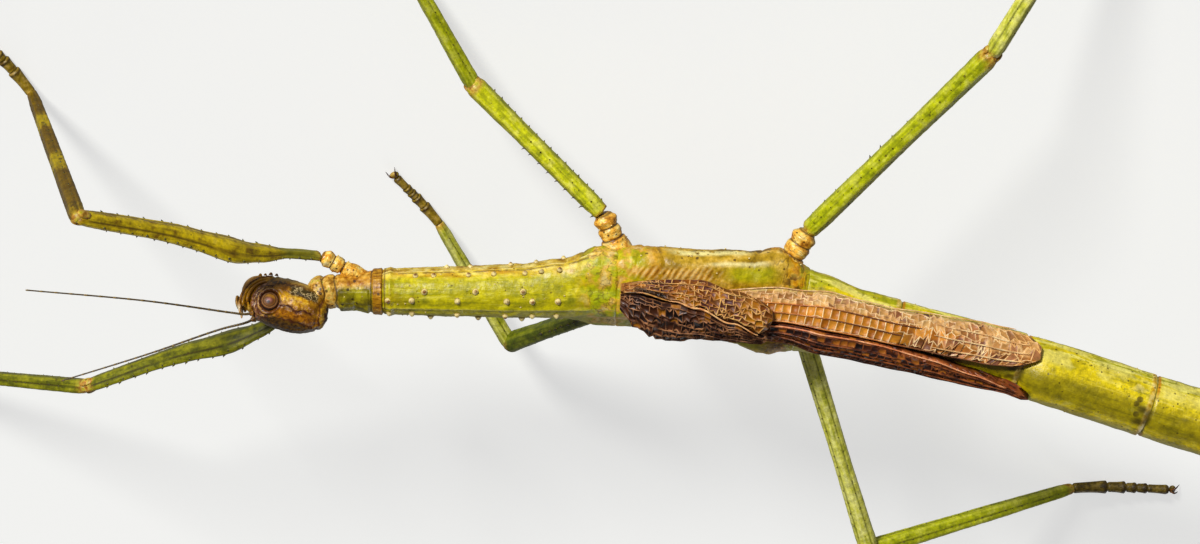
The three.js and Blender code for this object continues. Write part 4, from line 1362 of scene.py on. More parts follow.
# %% The wings' surface
WINGS = {
    "hind": {
        "front": -3.3, "rear": -22.9, "root_lift": 0.1, "lift": 0.14, "width": 2.7,
        RIGHT: [(0, 2, 52), (0.3, 3, 65), (0.39, 4, 66), (0.56, 5, 67), (0.73, 6, 76), (0.87, 8, 82),
                (1, 16, 84)],
        LEFT: [(0, 2, 52), (0.27, 5, 60), (0.39, 1, 58), (0.56, -2, 58), (0.73, 5, 60), (0.86, 14, 58),
               (1, 26, 44)],
    },
    "fore": {
        "front": 0.0, "rear": -8.4, "root_lift": 0.07, "lift": 0.73, "width": 2.7,
        RIGHT: [(0, 44, 60), (0.12, 44, 62), (0.35, 33, 64), (0.5, 24, 64), (0.76, 2, 52), (1, -17, 38)],
        LEFT: [(0, -42, -10), (0.1, -42, 20), (0.2, -36, 38), (0.3, -30, 46), (0.38, -28, 48),
               (0.5, -21, 43), (0.76, 0, 45), (1, 19, 40)],
    },
}
HUMPS = {RIGHT: (0.42, 0.45, 0.2), LEFT: (0.32, 0.86, 0.34)}
WING_THICKNESS = 0.5
WING_UNDERSIDE = -0.34
ZIGZAG, STRAIGHT_FREEDOM = 0.16, 0.3


def wing_point(hand, wing, u, v, height):
    """A place on a wing; height 0 is its upper face, and it falls away at the wing's edges."""
    inner, outer = between(wing[hand], v, 1), between(wing[hand], v, 2)
    angle = hand * radians(inner + (outer - inner) * u)
    tip_round = (0.02 + 0.055 * abs(2 * u - 1) ** 3) * abs(2 * u - 1) * v ** 5
    station = wing["front"] + (wing["rear"] - wing["front"]) * (v - tip_round)
    rise = wing["root_lift"] + (wing["lift"] - wing["root_lift"]) * smooth(v, 0, 0.3)
    if wing is WINGS["fore"]:
        hump_v, hump_u, height_there = HUMPS[hand]
        rise += height_there * bell(v - hump_v, 0.2) * bell(u - hump_u, 0.3)
        rise += 0.05 * grain(Vector((station, angle * 2.2, hand)), 0.7)
    else:
        rise += 0.035 * grain(Vector((station * 0.6, angle * 2.6, hand)), 0.6)
        rise -= 0.05 * bell(u - 0.02 - 0.6 * smooth(v, 0.6, 1.0) * 0.5, 0.05) * smooth(v, 0.55, 0.7)
    fall = 0.30 * (1 - rounded(u, 0.06, 0.12)) + 0.24 * (1 - rounded(v, 0.02, 0.03))
    return body_surface(station, angle, rise + WING_THICKNESS - fall + height)


# %% [markdown]
# ## A net of cells
# Long veins run to the wing's tip, and cross veins join them. Near the inner edge the cross veins
# stand like the rungs of a ladder; elsewhere they are set in turns, which makes six-sided cells.
# A grid gives both: some rungs are dissolved, and the long veins are bent into zigzags. Each cell
# is then inset, so its rim stays up as a vein and its middle sinks as a membrane.

# %% A wing from a net


def add_net(bm, hand, wing, lines, columns, ladders, wander, vein, sink, seed):
    """Lays a net of cells on a wing. lines are the long veins' places across, from 0 to 1."""
    random.seed(seed)
    length, width, rows = wing["front"] - wing["rear"], wing["width"], len(lines) - 1
    straight_until = columns * 1.2
    bmesh.ops.create_grid(bm, x_segments=rows, y_segments=columns * 2, size=0.5)
    place = {v: (round((v.co.x + 0.5) * rows), round((v.co.y + 0.5) * columns * 2)) for v in bm.verts}
    rungs = []
    for edge in bm.edges:
        (row_a, step_a), (row_b, step_b) = place[edge.verts[0]], place[edge.verts[1]]
        row = min(row_a, row_b)
        if step_a != step_b or step_a in (0, columns * 2):
            continue
        shift = 0 if row in ladders and max(step_a, step_b) < straight_until else row % 2
        if step_a % 2 != shift:
            rungs.append(edge)
    for vert in bm.verts:
        row, step = place[vert]
        straight = step < straight_until and (row in ladders or (row - 1) in ladders)
        inside = 0 < row < rows
        across = lines[row]
        gap = (lines[min(row + 1, rows)] - lines[max(row - 1, 0)]) / 2
        if inside and not straight:
            across += gap * (ZIGZAG if (step + row) % 2 else -ZIGZAG)
        free = STRAIGHT_FREEDOM if straight else 1.0
        if inside:
            across += gap * wander * free * random.uniform(-1, 1)
        along = step / (columns * 2)
        if 0 < step < columns * 2:
            along += wander * free * random.uniform(-0.8, 0.8) / (columns * 2)
        vert.co = Vector((across * width, along * length, 0))
    bmesh.ops.dissolve_edges(bm, edges=rungs, use_verts=False)
    cell_layer = bm.faces.layers.float["cell"]
    cells = list(bm.faces)
    for cell in cells:
        cell[cell_layer] = random.random()
        cell.material_index = 0
    rims = bmesh.ops.inset_individual(bm, faces=cells, thickness=vein, depth=0.0, use_even_offset=True)
    for rim in rims["faces"]:
        rim.material_index = 1
    middles = [f for f in bm.faces if f.material_index == 0]
    for vert in {v for f in middles for v in f.verts}:
        vert.co.z -= sink
    under = bmesh.ops.extrude_face_region(bm, geom=list(bm.faces))
    for item in under["geom"]:
        if isinstance(item, bmesh.types.BMVert):
            item.co.z = WING_UNDERSIDE
    shell, tips = bm.verts.layers.float_vector["shell"], bm.verts.layers.float["tip"]
    for vert in bm.verts:
        u, v, height = vert.co.x / width, vert.co.y / length, vert.co.z
        vert[shell] = Vector((v * length, u, 0.5))
        vert[tips] = 0.0
        vert.co = wing_point(hand, wing, u, v, height)


def add_vein(bm, hand, wing, way, girth, material=2, rings=90):
    """A long raised vein: way(t) gives its (u, v) and girth(t) its radius."""
    lines = {}

    def line(t):
        key = round(t, 5)
        if key not in lines:
            u, v = way(t)
            lines[key] = wing_point(hand, wing, u, min(max(v, 0.0), 1.0), 0.01)
        return lines[key]

    place = along_line(line, lambda t: (girth(t), girth(t)))
    add_tube(bm, place, along=(0.0, wing["front"] - wing["rear"]), sides=10, rings=rings, material=material)


def new_wing_mesh():
    bm = new_mesh()
    bm.faces.layers.float.new("cell")
    return bm


# %% [markdown]
# ## Paint for the wings
# Membranes and veins get a material each. Every cell carries a chance number of its own in the
# face attribute `cell`, which makes neighbouring cells lighter or darker. The right wings are tan
# and orange; the left ones are painted a darker red-brown, which is painted shade.

# %% Wing paints


class Membrane(Paint):
    """The skin of a wing's cells, each with a tone of its own. across runs from 0 to 1."""

    def __init__(self, name, dark, main, pale):
        super().__init__(name, coat=0.05)
        self.cell = self.node("Attribute", {}, "Fac", attribute_name="cell")
        self.tint = self.plus(self.times(self.cell, 0.6), self.times(self.noise(0.9, detail=4), 0.55))
        self.ground(self.tint, (0.25, *dark), (0.5, *main), (0.8, *pale))

    def zone(self, dark, pale, *masks, **steps):
        """Other tones for some cells, by masks and by soft steps of along, across or cell."""
        edges = [self.step(getattr(self, name), *ends) for name, ends in steps.items()]
        self.lay(self.mix(self.step(self.tint, 0.3, 0.75), dark, pale), *edges, *masks)

    def done(self):
        return self.finish(0.48, self.noise(0.07, detail=2), 0.012, strength=1.04)


def vein_paint(name, dark, pale, tip_tone=None, tip_start=None, hollow=False):
    """Paint for veins, with another tone near the tip, or painted shade in the hollow near the root."""
    ink = Paint(name, coat=0.1)
    ink.tone = ink.mix(ink.step(ink.noise(0.6, detail=4), 0.35, 0.65), dark, pale)
    if tip_tone:
        ink.lay(tip_tone, ink.step(ink.along, tip_start, tip_start + 4))
    if hollow:
        # Painted shade: veins in the hollow near the root, on its inner side, are painted nearly black.
        inside = ink.step(ink.across, 0.5, 0.3)
        ink.lay((40, 22, 12), ink.band(ink.along, 1.75, 0.8, 0.4), inside, 0.85)
    return ink.finish(0.4, ink.noise(0.07), 0.01, strength=1.0)


skin = Membrane("tan_membrane", (160, 108, 60), (196, 144, 84), (216, 172, 110))
skin.zone((164, 96, 32), (208, 138, 56), across=(0.66, 0.58), along=(17.0, 14.0))
skin.zone((66, 28, 12), (120, 62, 24), 0.9, across=(0.10, 0.05))
skin.zone((104, 56, 24), (172, 108, 50), across=(0.42, 0.30), along=(11.5, 14.5))
skin.zone((112, 70, 50), (168, 112, 70), skin.patches(1.2, 0.56, 0.62, seed=3), along=(11.5, 14.0))
skin.zone((130, 92, 66), (170, 124, 84), skin.patches(1.0, 0.56, 0.62, seed=8), across=(0.6, 0.7))
skin.zone((92, 46, 30), (132, 74, 44), 0.75, cell=(0.88, 0.90), across=(0.58, 0.64))
skin.zone((190, 152, 78), (226, 196, 128), skin.patches(1.4, 0.4, 0.5, seed=5), across=(0.88, 0.96))
tan_membrane = skin.done()
tan_vein = vein_paint("tan_vein", (206, 152, 92), (242, 208, 152), (226, 172, 98), 16.0)
orange_vein = vein_paint("orange_vein", (176, 92, 36), (220, 144, 72), (120, 70, 40), 10.0)

# Painted shade: the left hind wing is painted darker than the right one.
skin = Membrane("shaded_red_membrane", (18, 7, 5), (46, 18, 10), (88, 40, 18))
skin.zone((66, 30, 14), (150, 90, 40), 0.75, along=(13.5, 17.0))
skin.zone((104, 52, 20), (166, 100, 40), 0.9, cell=(0.74, 0.78), along=(2.0, 4.0))
skin.zone((116, 56, 28), (176, 100, 56), across=(0.22, 0.12), along=(10.0, 12.0))
shaded_red_membrane = skin.done()
shaded_red_vein = vein_paint("shaded_red_vein", (66, 26, 10), (150, 80, 34))
rose_vein = vein_paint("rose_vein", (214, 118, 66), (248, 176, 122))

skin = Membrane("rust_membrane", (88, 42, 16), (150, 88, 26), (206, 146, 42))
skin.zone((82, 44, 40), (136, 88, 70), skin.patches(0.9, 0.47, 0.55, seed=6), along=(7.6, 6.0))
skin.zone((52, 24, 14), (98, 54, 26), 0.9, cell=(0.62, 0.64))
# Painted shade: the hollow near the root of the fore wing is painted nearly black.
skin.zone((10, 6, 4), (34, 18, 10), skin.band(skin.along, 1.75, 0.85, 0.35), across=(0.42, 0.28))
bridge = skin.band(skin.along, 2.1, 0.3, 0.2), skin.band(skin.across, 0.55, 0.09, 0.06)
skin.zone((26, 14, 10), (48, 26, 16), *bridge)
skin.zone((120, 66, 28), (186, 124, 60), 0.8, along=(0.9, 0.3))
skin.zone((90, 44, 20), (140, 80, 34), across=(0.09, 0.05))
rust_membrane = skin.done()
rust_vein = vein_paint("rust_vein", (166, 102, 40), (230, 176, 98), hollow=True)
ridge_vein = vein_paint("ridge_vein", (222, 140, 80), (250, 196, 130))

# Painted shade: the left fore wing is painted darker than the right one.
skin = Membrane("shaded_umber_membrane", (20, 9, 6), (44, 20, 11), (82, 42, 18))
skin.zone((120, 70, 24), (168, 108, 36), 0.8, cell=(0.80, 0.82))
shaded_umber_membrane = skin.done()
shaded_umber_vein = vein_paint("shaded_umber_vein", (74, 38, 20), (182, 124, 80))

# %% [markdown]
# ## The hind wings
# Each hind wing has a broad stiff front part, which is all that shows of the folded wing: a
# ladder of tall cells beside the inner edge, then rows of small cells up to the outer edge.
# A strong bright vein bounds the inner edge and runs straight to the wing's pointed tip.

# %% Hind wings
HIND_LINES = {
    RIGHT: [0, 0.05, 0.32, 0.60, 0.75, 0.89, 1.0],
    LEFT: [0, 0.10, 0.28, 0.46, 0.62, 0.76, 0.88, 1.0],
}
HIND_PAINTS = {RIGHT: [tan_membrane, tan_vein, orange_vein], LEFT: [shaded_red_membrane, shaded_red_vein, rose_vein]}
LONG_VEINS = ((0.32, 0.02, 0.57, 90), (0.60, 0.04, 0.62, 90), (0.985, 0.02, 0.92, 130))
for hand, mark in SIDES[::-1]:
    wing = WINGS["hind"]
    bm = new_wing_mesh()
    add_net(
        bm, hand, wing, HIND_LINES[hand], columns=46, ladders=(0, 1, 2), wander=0.42,
        vein=0.028, sink=0.055, seed=21 + hand,
    )
    edge_girth = lambda t: (0.055 if hand == LEFT else 0.045) * (1 - 0.4 * t) * rounded(t, 0.02, 0.02)
    add_vein(bm, hand, wing, lambda t: (0.035, 0.02 + 0.97 * t), edge_girth, rings=150)
    fine_girth = lambda t: 0.036 * rounded(t, 0.02, 0.05)
    for u, bend, reach, rings in LONG_VEINS:
        bright = 2 if hand == RIGHT and u < 0.9 else 1
        add_vein(bm, hand, wing, lambda t: (u - bend * t, 0.05 + reach * t), fine_girth, bright, rings)
    for start_u, end_u in ((0.16, 0.22), (0.46, 0.44), (0.74, 0.66)):
        late = lambda t: (start_u + (end_u - start_u) * t, 0.70 + 0.27 * t)
        add_vein(bm, hand, wing, late, lambda t: 0.045 * rounded(t, 0.2, 0.05), material=1, rings=50)
    finish_piece(bm, f"hind_wing_{mark}", HIND_PAINTS[hand], [f"hindwing_{mark}"])

# %% [markdown]
# ## The fore wings
# A tegmen is short and leathery. Its veins fan out from the root, the cells between them are
# wide, and a bright ridge runs slantwise to the blunt tip. Inside it lies a hollow near the root,
# which is painted nearly black as shade.

# %% Fore wings
FORE_LINES = [0, 0.13, 0.27, 0.41, 0.55, 0.70, 0.85, 1.0]
FORE_PAINTS = {RIGHT: [rust_membrane, rust_vein, ridge_vein], LEFT: [shaded_umber_membrane, shaded_umber_vein, shaded_umber_vein]}
for hand, mark in SIDES[::-1]:
    wing = WINGS["fore"]
    bm = new_wing_mesh()
    add_net(
        bm, hand, wing, FORE_LINES, columns=18, ladders=(), wander=0.46,
        vein=0.030 if hand == RIGHT else 0.022, sink=0.09, seed=51 + hand,
    )
    if hand == RIGHT:
        ridge_girth = lambda t: (0.056 - 0.026 * t * t) * smooth(t, -0.15, 0.35) * rounded(t, 0.12, 0.03)
        add_vein(bm, hand, wing, lambda t: (0.045, 0.27 + 0.71 * t), ridge_girth, rings=90)
        root_girth = lambda t: 0.04 * rounded(t, 0.1, 0.2)
        add_vein(bm, hand, wing, lambda t: (0.05, 0.02 + 0.3 * t), root_girth, material=1, rings=40)
        fans = ((0.30, 0.46, 0.50), (0.75, 0.86, 0.9))
    else:
        fans = ((0.06, 0.04, 0.96), (0.2, 0.42, 0.5), (0.5, 0.66, 0.9))
    for root_u, end_u, end_v in fans:
        way = lambda t: (root_u + (end_u - root_u) * t, 0.02 + (end_v - 0.02) * t)
        fan_girth = lambda t: 0.042 * smooth(t, -0.2, 0.5) * (1 - 0.5 * t) * rounded(t, 0.03, 0.05)
        add_vein(bm, hand, wing, way, fan_girth, material=1, rings=60)
    finish_piece(bm, f"fore_wing_{mark}", FORE_PAINTS[hand], [f"tegmen_{mark}"])

# %% [markdown]
# ## The head capsule
# The head is a hard egg with low relief round the eye: a raised socket, folds like nested
# crescents in front of it, a waved groove behind it, and a rim at the neck. A sphere with fine
# faces takes all of it, each vertex pushed out or in by a sum of soft bells. The attribute
# `shell` holds the place in the head's own frame, so the paint can follow the same folds.

# %% Relief of the head
CAPSULE_RIM = -2.22
FEELER_ROOT = {"forward": 1.4, "out": 0.55, "up": 1.03}


def eye_distance(x, z):
    return hypot(x - EYE["forward"], z - EYE["up"])


def head_relief(x, y, z):
    """How far the capsule stands out at a place in the head's own frame, in millimetres."""
    around = eye_distance(x, z)
    flank = smooth(abs(y), 0.35, 0.75)
    lift = flank * (0.09 * bell(around - 0.64, 0.05) - 0.05 * bell(around - 0.76, 0.04))
    lift += 0.05 * flank * bell(around - 0.84, 0.05)
    lift -= 0.22 * flank * smooth(0.57 - around, 0, 0.08)
    front = smooth(x, 0.9, 1.3)
    lift += front * (0.07 * bell(around - 1.42, 0.13) + 0.05 * bell(around - 1.0, 0.08))
    lift -= front * (0.07 * bell(around - 1.19, 0.05) + 0.08 * bell(around - 1.66, 0.06))
    behind = smooth(-x, -0.2, 0.2) * smooth(x, -1.95, -1.7)
    wave = 0.40 + 0.07 * sin(5.2 * x) + 0.03 * sin(11 * x)
    lift -= 0.06 * behind * flank * bell(z - wave, 0.05)
    lift += 0.05 * behind * flank * bell(z - wave - 0.16, 0.09)
    lift += 0.06 * behind * flank * bell(z + 0.1, 0.28)
    lift -= 0.05 * behind * flank * bell(z + 0.46 + 0.05 * sin(7 * x), 0.05)
    lift -= 0.05 * behind * bell(z - 0.98 - 0.04 * sin(4 * x), 0.05)
    lift += 0.05 * bell(x - CAPSULE_RIM, 0.10) - 0.05 * bell(x - CAPSULE_RIM - 0.2, 0.05)
    if z > 0:
        lift -= 0.04 * bell(y, 0.05) * smooth(-x, -0.8, 0)
        lift += 0.05 * bell(abs(y) - 0.3, 0.12) * smooth(-x, 0, 0.5)
        socket = hypot(x - FEELER_ROOT["forward"], abs(y) - FEELER_ROOT["out"])
        lift += 0.09 * bell(socket - 0.24, 0.06) - 0.10 * bell(socket, 0.13)
        lift -= 0.06 * bell(x - 1.95, 0.05)
        lift += 0.06 * bell(y, 0.16) * bell(x - 1.2, 0.3)
    else:
        lift += 0.07 * bell(abs(y) - 0.55, 0.14) * (bell(x - 1.0, 0.10) + bell(x - 0.72, 0.09))
        lift -= 0.05 * bell(y, 0.06)
    point = Vector((x, y, z))
    lift += 0.035 * grain(point, 0.34, 1) + 0.022 * grain(point, 0.14, 3)
    return lift + 0.012 * grain(point, 0.08, 6)


def add_capsule(bm):
    """The egg, built from a sphere whose poles point forward and back."""
    shell = bm.verts.layers.float_vector["shell"]
    ball = bmesh.ops.create_uvsphere(
        bm, u_segments=140, v_segments=100, radius=1, matrix=Matrix.Rotation(pi / 2, 4, "Y")
    )
    for vert in ball["verts"]:
        x, y, z = vert.co
        taper = 1 - 0.16 * x * x * (1 if x > 0 else 0.4)
        if -1 < x < 0:
            taper *= sqrt((1 - (-x) ** 3) / (1 - x * x))
        crown = 1.02 if z > 0 else 1.06
        place = Vector((
            x * HEAD["length"] / 2,
            y * HEAD["half_width"] * taper,
            z * HEAD["half_height"] * crown * taper,
        ))
        way = Vector((x / HEAD["length"] * 2, y / HEAD["half_width"], z / HEAD["half_height"])).normalized()
        vert[shell] = place
        vert.co = on_head(*(place + way * head_relief(*place)))


# %% [markdown]
# ## Paint for the head
# The markings follow the relief. A yellow cheek lies behind the eye, a dark scribbled patch
# beneath it, a red-brown waved line above, then an orange band and a dark crown. The crescents in
# front of the eye go from dark red-brown to pale ochre. Every border is bent by a little noise.

# %% Head paint
ink = Paint("head_shell", coat=0.15)
wobble = ink.node("TexNoise", {"Vector": ink.mm, "Scale": 3.2, "Detail": 3.0}, 1)
wobble = ink.node("VectorMath", {0: wobble, 1: (0.5, 0.5, 0.5)}, operation="SUBTRACT")
wobble = ink.node("VectorMath", {0: wobble, 1: (0.34, 0.34, 0.34)}, operation="MULTIPLY")
bent = ink.node("VectorMath", {0: ink.shell, 1: wobble}, operation="ADD")
fore, side, rise = ink.parts(bent)
off_x = ink.minus(fore, EYE["forward"])
off_z = ink.minus(rise, EYE["up"])
around = ink.reach(off_x, off_z)
flank = ink.step(ink.math("ABSOLUTE", side), 0.30, 0.55)
behind = ink.step(off_x, 0.15, -0.25)
before = ink.minus(1.0, behind)
cloud = ink.noise(0.45, detail=5, rough=0.65)
fleck = ink.noise(0.16, detail=4, rough=0.65, seed=4)
ink.ground(cloud, (0.32, 76, 44, 18), (0.48, 132, 88, 32), (0.64, 176, 128, 54))
crown = ink.step(rise, 0.92, 1.08)
ink.lay(ink.mix(ink.step(fleck, 0.36, 0.64), (40, 24, 12), (104, 74, 32)), crown)
band = ink.times(flank, ink.band(rise, 0.72, 0.22, 0.08), ink.step(fore, 0.6, 0.1))
ink.lay(ink.ramp(fleck, (0.34, 96, 50, 14), (0.5, 152, 94, 26), (0.66, 194, 132, 44)), band)
cheek = ink.times(
    flank, ink.band(rise, -0.04, 0.30, 0.12), ink.step(fore, 0.5, 0.2), ink.step(fore, -1.75, -1.3),
)
ink.lay(
    ink.ramp(fleck, (0.34, 126, 74, 26), (0.46, 196, 142, 50), (0.58, 226, 178, 78), (0.7, 236, 204, 124)),
    cheek,
)
scribble = ink.band(ink.noise(0.25, detail=2, seed=7), 0.5, 0.02, 0.03)
patch = ink.times(flank, ink.band(rise, -0.63, 0.31, 0.08), ink.band(fore, -1.04, 0.80, 0.12))
patch_tone = ink.mix(scribble, ink.mix(cloud, (34, 26, 14), (80, 68, 36)), (214, 190, 140))
ink.lay(patch_tone, patch, 0.95)
under = ink.step(rise, -0.98, -1.14)
ink.lay(ink.mix(fleck, (150, 112, 48), (206, 172, 92)), under)
blots = ink.times(
    ink.band(rise, -0.88, 0.12, 0.10), ink.band(fore, 0.55, 0.95, 0.2), ink.step(fleck, 0.4, 0.52),
)
ink.lay((48, 28, 16), blots, 0.9)
front = ink.step(fore, 0.85, 1.15)
mandible = ink.times(front, ink.step(around, 1.08, 0.98))
ink.lay(ink.ramp(fleck, (0.36, 78, 42, 26), (0.5, 134, 88, 62), (0.66, 190, 150, 126)), mandible)
stipes = ink.times(front, ink.band(around, 1.34, 0.25, 0.05))
ink.lay(ink.ramp(fleck, (0.34, 140, 86, 28), (0.48, 206, 150, 56), (0.62, 236, 192, 102)), stipes)
outer = ink.times(front, ink.step(around, 1.66, 1.76))
ink.lay(ink.ramp(fleck, (0.34, 164, 116, 54), (0.52, 214, 170, 96), (0.68, 240, 206, 140)), outer)
ink.lay(
    ink.ramp(fleck, (0.36, 170, 120, 46), (0.56, 216, 174, 82), (0.7, 232, 200, 120)),
    ink.step(fore, CAPSULE_RIM + 0.06, CAPSULE_RIM),
)
wave_place = ink.plus(0.40, ink.times(ink.math("SINE", ink.times(fore, 5.2)), 0.07))
wave_gap = ink.minus(rise, wave_place)
pink = ink.times(
    flank, ink.band(wave_gap, -0.16, 0.09, 0.05), ink.step(fleck, 0.5, 0.58), ink.step(fore, 0.2, 0.0),
)
ink.lay((202, 150, 132), pink, 0.8)
wave = ink.times(
    flank, ink.band(wave_gap, 0, 0.05, 0.03), ink.step(fore, 0.3, 0.1), ink.step(fore, -1.9, -1.7),
)
low_wave = ink.times(
    flank, ink.band(rise, -0.42, 0.02, 0.04), ink.step(fore, 0.1, -0.1), ink.step(fore, -1.8, -1.6),
)
ink.lay((70, 28, 16), ink.step(fore, CAPSULE_RIM - 0.10, CAPSULE_RIM - 0.16))
lines = ink.most(
    wave, ink.times(low_wave, 0.7), ink.times(front, ink.band(around, 1.18, 0.02, 0.05)),
    ink.times(front, ink.band(around, 1.68, 0.02, 0.05)),
    ink.times(ink.band(rise, 1.0, 0.03, 0.05), ink.step(fore, 0.3, 0.0)),
    ink.band(fore, CAPSULE_RIM + 0.11, 0.02, 0.04),
    ink.times(flank, ink.band(around, 0.86, 0.03, 0.06), before),
)
ink.lay((62, 22, 12), lines, 0.92)
inward = ink.times(behind, 0.15)
socket = ink.times(flank, ink.step(ink.plus(around, inward), 0.84, 0.74))
ink.lay((84, 44, 24), socket, 0.85)
pale = ink.times(
    flank,
    ink.most(
        ink.times(ink.band(around, 0.645, 0.02, 0.03), before),
        ink.times(ink.band(around, 0.83, 0.01, 0.03), ink.step(fore, 0.7, 0.9)),
        ink.times(ink.band(wave_gap, -0.13, 0.03, 0.04), ink.step(scribble, 0.1, 0.6)),
    ),
)
ink.lay((214, 168, 104), pale, 0.8)
fine = ink.bump(ink.noise(0.08, detail=3), 0.02)
head_paint = ink.finish(0.36, fleck, 0.03, under=fine)

bm = new_mesh()
random.seed(13)
for _ in range(60):
    theta, height = random.uniform(0, 2 * pi), random.uniform(-0.95, 0.8)
    way = Vector((height * 1.1, cos(theta), sin(theta))).normalized()
    if eye_distance(way.x * 2.4, way.z * 1.3) < 0.85 and abs(way.y) > 0.4:
        continue
    on_egg = Vector((way.x * HEAD["length"] / 2, way.y * HEAD["half_width"], way.z * HEAD["half_height"]))
    place = on_egg * 0.965
    add_thorn(bm, on_head(*place), HEAD_TURN.to_3x3() @ way, 0.07, 0.05, place)
add_capsule(bm)
finish_piece(bm, "head_capsule", [head_paint, wart_paint], ["head"])

# %% [markdown]
# ## The eyes
# The eye is a glassy dome, sunk into its raised socket for about half its depth. It is banded in
# rings round a paler centre with a dark spot, the facets that look straight at the viewer. The
# dome is slightly pebbled by its facets.

# %% Eyes
ink = Paint("eye_glass", specular=0.4, coat=0.12)
ring_x, _, ring_z = ink.parts(ink.shell)
ring = ink.reach(ring_x, ring_z)
ring = ink.plus(ring, ink.times(ink.minus(ink.noise(0.25), 0.5), 0.10))
ink.ground(
    ring, (0.00, 160, 106, 100), (0.20, 138, 84, 72), (0.32, 100, 58, 36), (0.46, 98, 60, 32),
    (0.60, 126, 84, 44), (0.68, 44, 20, 12), (0.76, 168, 124, 84), (0.82, 120, 78, 50), (0.88, 48, 22, 14),
    (0.98, 30, 14, 10),
)
pupil = ink.reach(ink.minus(ring_x, 0.02), ink.minus(ring_z, 0.20))
ink.lay((184, 132, 64), ink.step(ring_z, -0.12, -0.42), ink.step(ring, 0.66, 0.6), 0.7)
ink.lay((30, 10, 12), ink.step(pupil, 0.19, 0.10))
facets = ink.node("TexVoronoi", {"Vector": ink.mm, "Scale": 26.0, "Randomness": 0.25})
eye_paint = ink.finish(0.4, facets, 0.008, depth=0.12)

for hand, mark in SIDES:
    bm = new_mesh()
    shell = bm.verts.layers.float_vector["shell"]
    dome = bmesh.ops.create_uvsphere(
        bm, u_segments=56, v_segments=40, radius=1, matrix=Matrix.Rotation(pi / 2, 4, "X")
    )
    for vert in dome["verts"]:
        vert[shell] = vert.co.copy()
        place = vert.co * EYE["radius"]
        vert.co = on_head(
            EYE["forward"] + place.x, -hand * EYE["out"] + place.y * EYE["flat"], EYE["up"] + place.z
        )
    finish_piece(bm, f"eye_dome_{mark}", [eye_paint], [f"eye_{mark}"])

# %% [markdown]
# ## The mouthparts
# Under the front of the head lie the upper lip, two strong jaws, and behind them the outer jaws
# and the lower lip, each with a jointed palp. They are curved, flattened tubes that hug the
# capsule's front, from the cheek to the chin.

# %% Mouthparts
MOUTH = {"forward": 1.6, "up": -0.3, "length": 1.9, "half_width": 0.82, "half_height": 0.98}
JAW_FOLDS = [  # two radii round the eye, two angles, two reaches out, thickness, width, how it narrows
    ((1.27, 1.16), 16, -66, (0.92, 0.82), 0.10, 0.20, 0.06),
    ((1.53, 1.36), 22, -72, (0.72, 0.64), 0.11, 0.16, 0.05),
    ((1.72, 1.46), 30, -78, (0.48, 0.46), 0.10, 0.14, 0.06),
]
CHIN_KNOBS = [(1.66, -1.10, 0.12), (1.40, -1.20, 0.10), (1.12, -1.30, 0.13), (0.80, -1.34, 0.11)]


def round_eye(radii, start, end, out):
    """Points on an arc round the eye's axis; angles in degrees, 0 forward and 90 to the crown."""
    arc = []
    for share in (0, 0.2, 0.4, 0.6, 0.8, 1):
        turn = radians(start + (end - start) * share)
        reach = out[0] + (out[1] - out[0]) * share
        radius = radii[0] + (radii[1] - radii[0]) * share
        arc.append((EYE["forward"] + radius * cos(turn), reach, EYE["up"] + radius * sin(turn)))
    return arc


def add_head_tube(bm, points, size, sides=16, rings=26):
    """A tube through points of the head's own frame, with rounded ends."""
    shell = bm.verts.layers.float_vector["shell"]
    line = curve_through([on_head(*point) for point in points])
    sideways = HEAD_TURN.to_3x3() @ Vector((0, 1, 0))
    rows = lambda t: [part * rounded(t, 0.12, 0.12) for part in size(t)]
    back = HEAD_TURN.inverted()
    for vert in add_tube(bm, along_line(line, rows, up=sideways), sides=sides, rings=rings, crowd=0.4):
        vert[shell] = back @ (vert.co - HEAD["centre"])


bm = new_mesh()
for hand in (RIGHT, LEFT):
    y = -hand
    for radii, start, end, out, thick, wide, less in JAW_FOLDS:
        arc = round_eye(radii, start, end, (y * out[0], y * out[1]))
        add_head_tube(bm, arc, lambda t: (thick, wide - less * t))
    joints = (0.22, 0.45, 0.72)
    size = lambda t: (0.08 - 0.03 * bell(min(abs(t - j) for j in joints), 0.025),) * 2
    add_head_tube(bm, round_eye((1.52, 1.76), -62, 34, (y * 0.66, y * 0.54)), size, rings=46)
    size = lambda t: (0.07 - 0.025 * bell(min(abs(t - j) for j in (0.35, 0.68)), 0.03),) * 2
    add_head_tube(bm, round_eye((1.58, 1.74), -80, -30, (y * 0.26, y * 0.22)), size, rings=36)
    for forward, up, size_there in CHIN_KNOBS:
        place = Vector((forward, y * 0.56, up))
        way = HEAD_TURN.to_3x3() @ Vector((0.1, y * 0.3, -1))
        add_thorn(bm, on_head(*place), way, size_there * 1.3, size_there, place, sides=10, power=0.5)
lip = [(2.10, 0, 0.92), (2.38, 0, 0.80), (2.56, 0, 0.52), (2.60, 0, 0.20)]
add_head_tube(bm, lip, lambda t: (0.10, 0.46 - 0.10 * t), sides=24)
shell = bm.verts.layers.float_vector["shell"]
block = bmesh.ops.create_uvsphere(
    bm, u_segments=64, v_segments=48, radius=1, matrix=Matrix.Rotation(pi / 2, 4, "Y")
)
for vert in block["verts"]:
    x, y, z = vert.co
    place = Vector((
        MOUTH["forward"] + x * MOUTH["length"] / 2, y * MOUTH["half_width"],
        MOUTH["up"] + z * MOUTH["half_height"],
    ))
    gap = eye_distance(place.x, place.z)
    way = Vector((x, y, z)).normalized()
    groove = 0.10 * bell(gap - 1.68, 0.06) + 0.07 * bell(y, 0.06)
    vert[shell] = place
    vert.co = on_head(*(place - way * (groove + 0.05 - 0.02 * grain(place, 0.2, 2))))

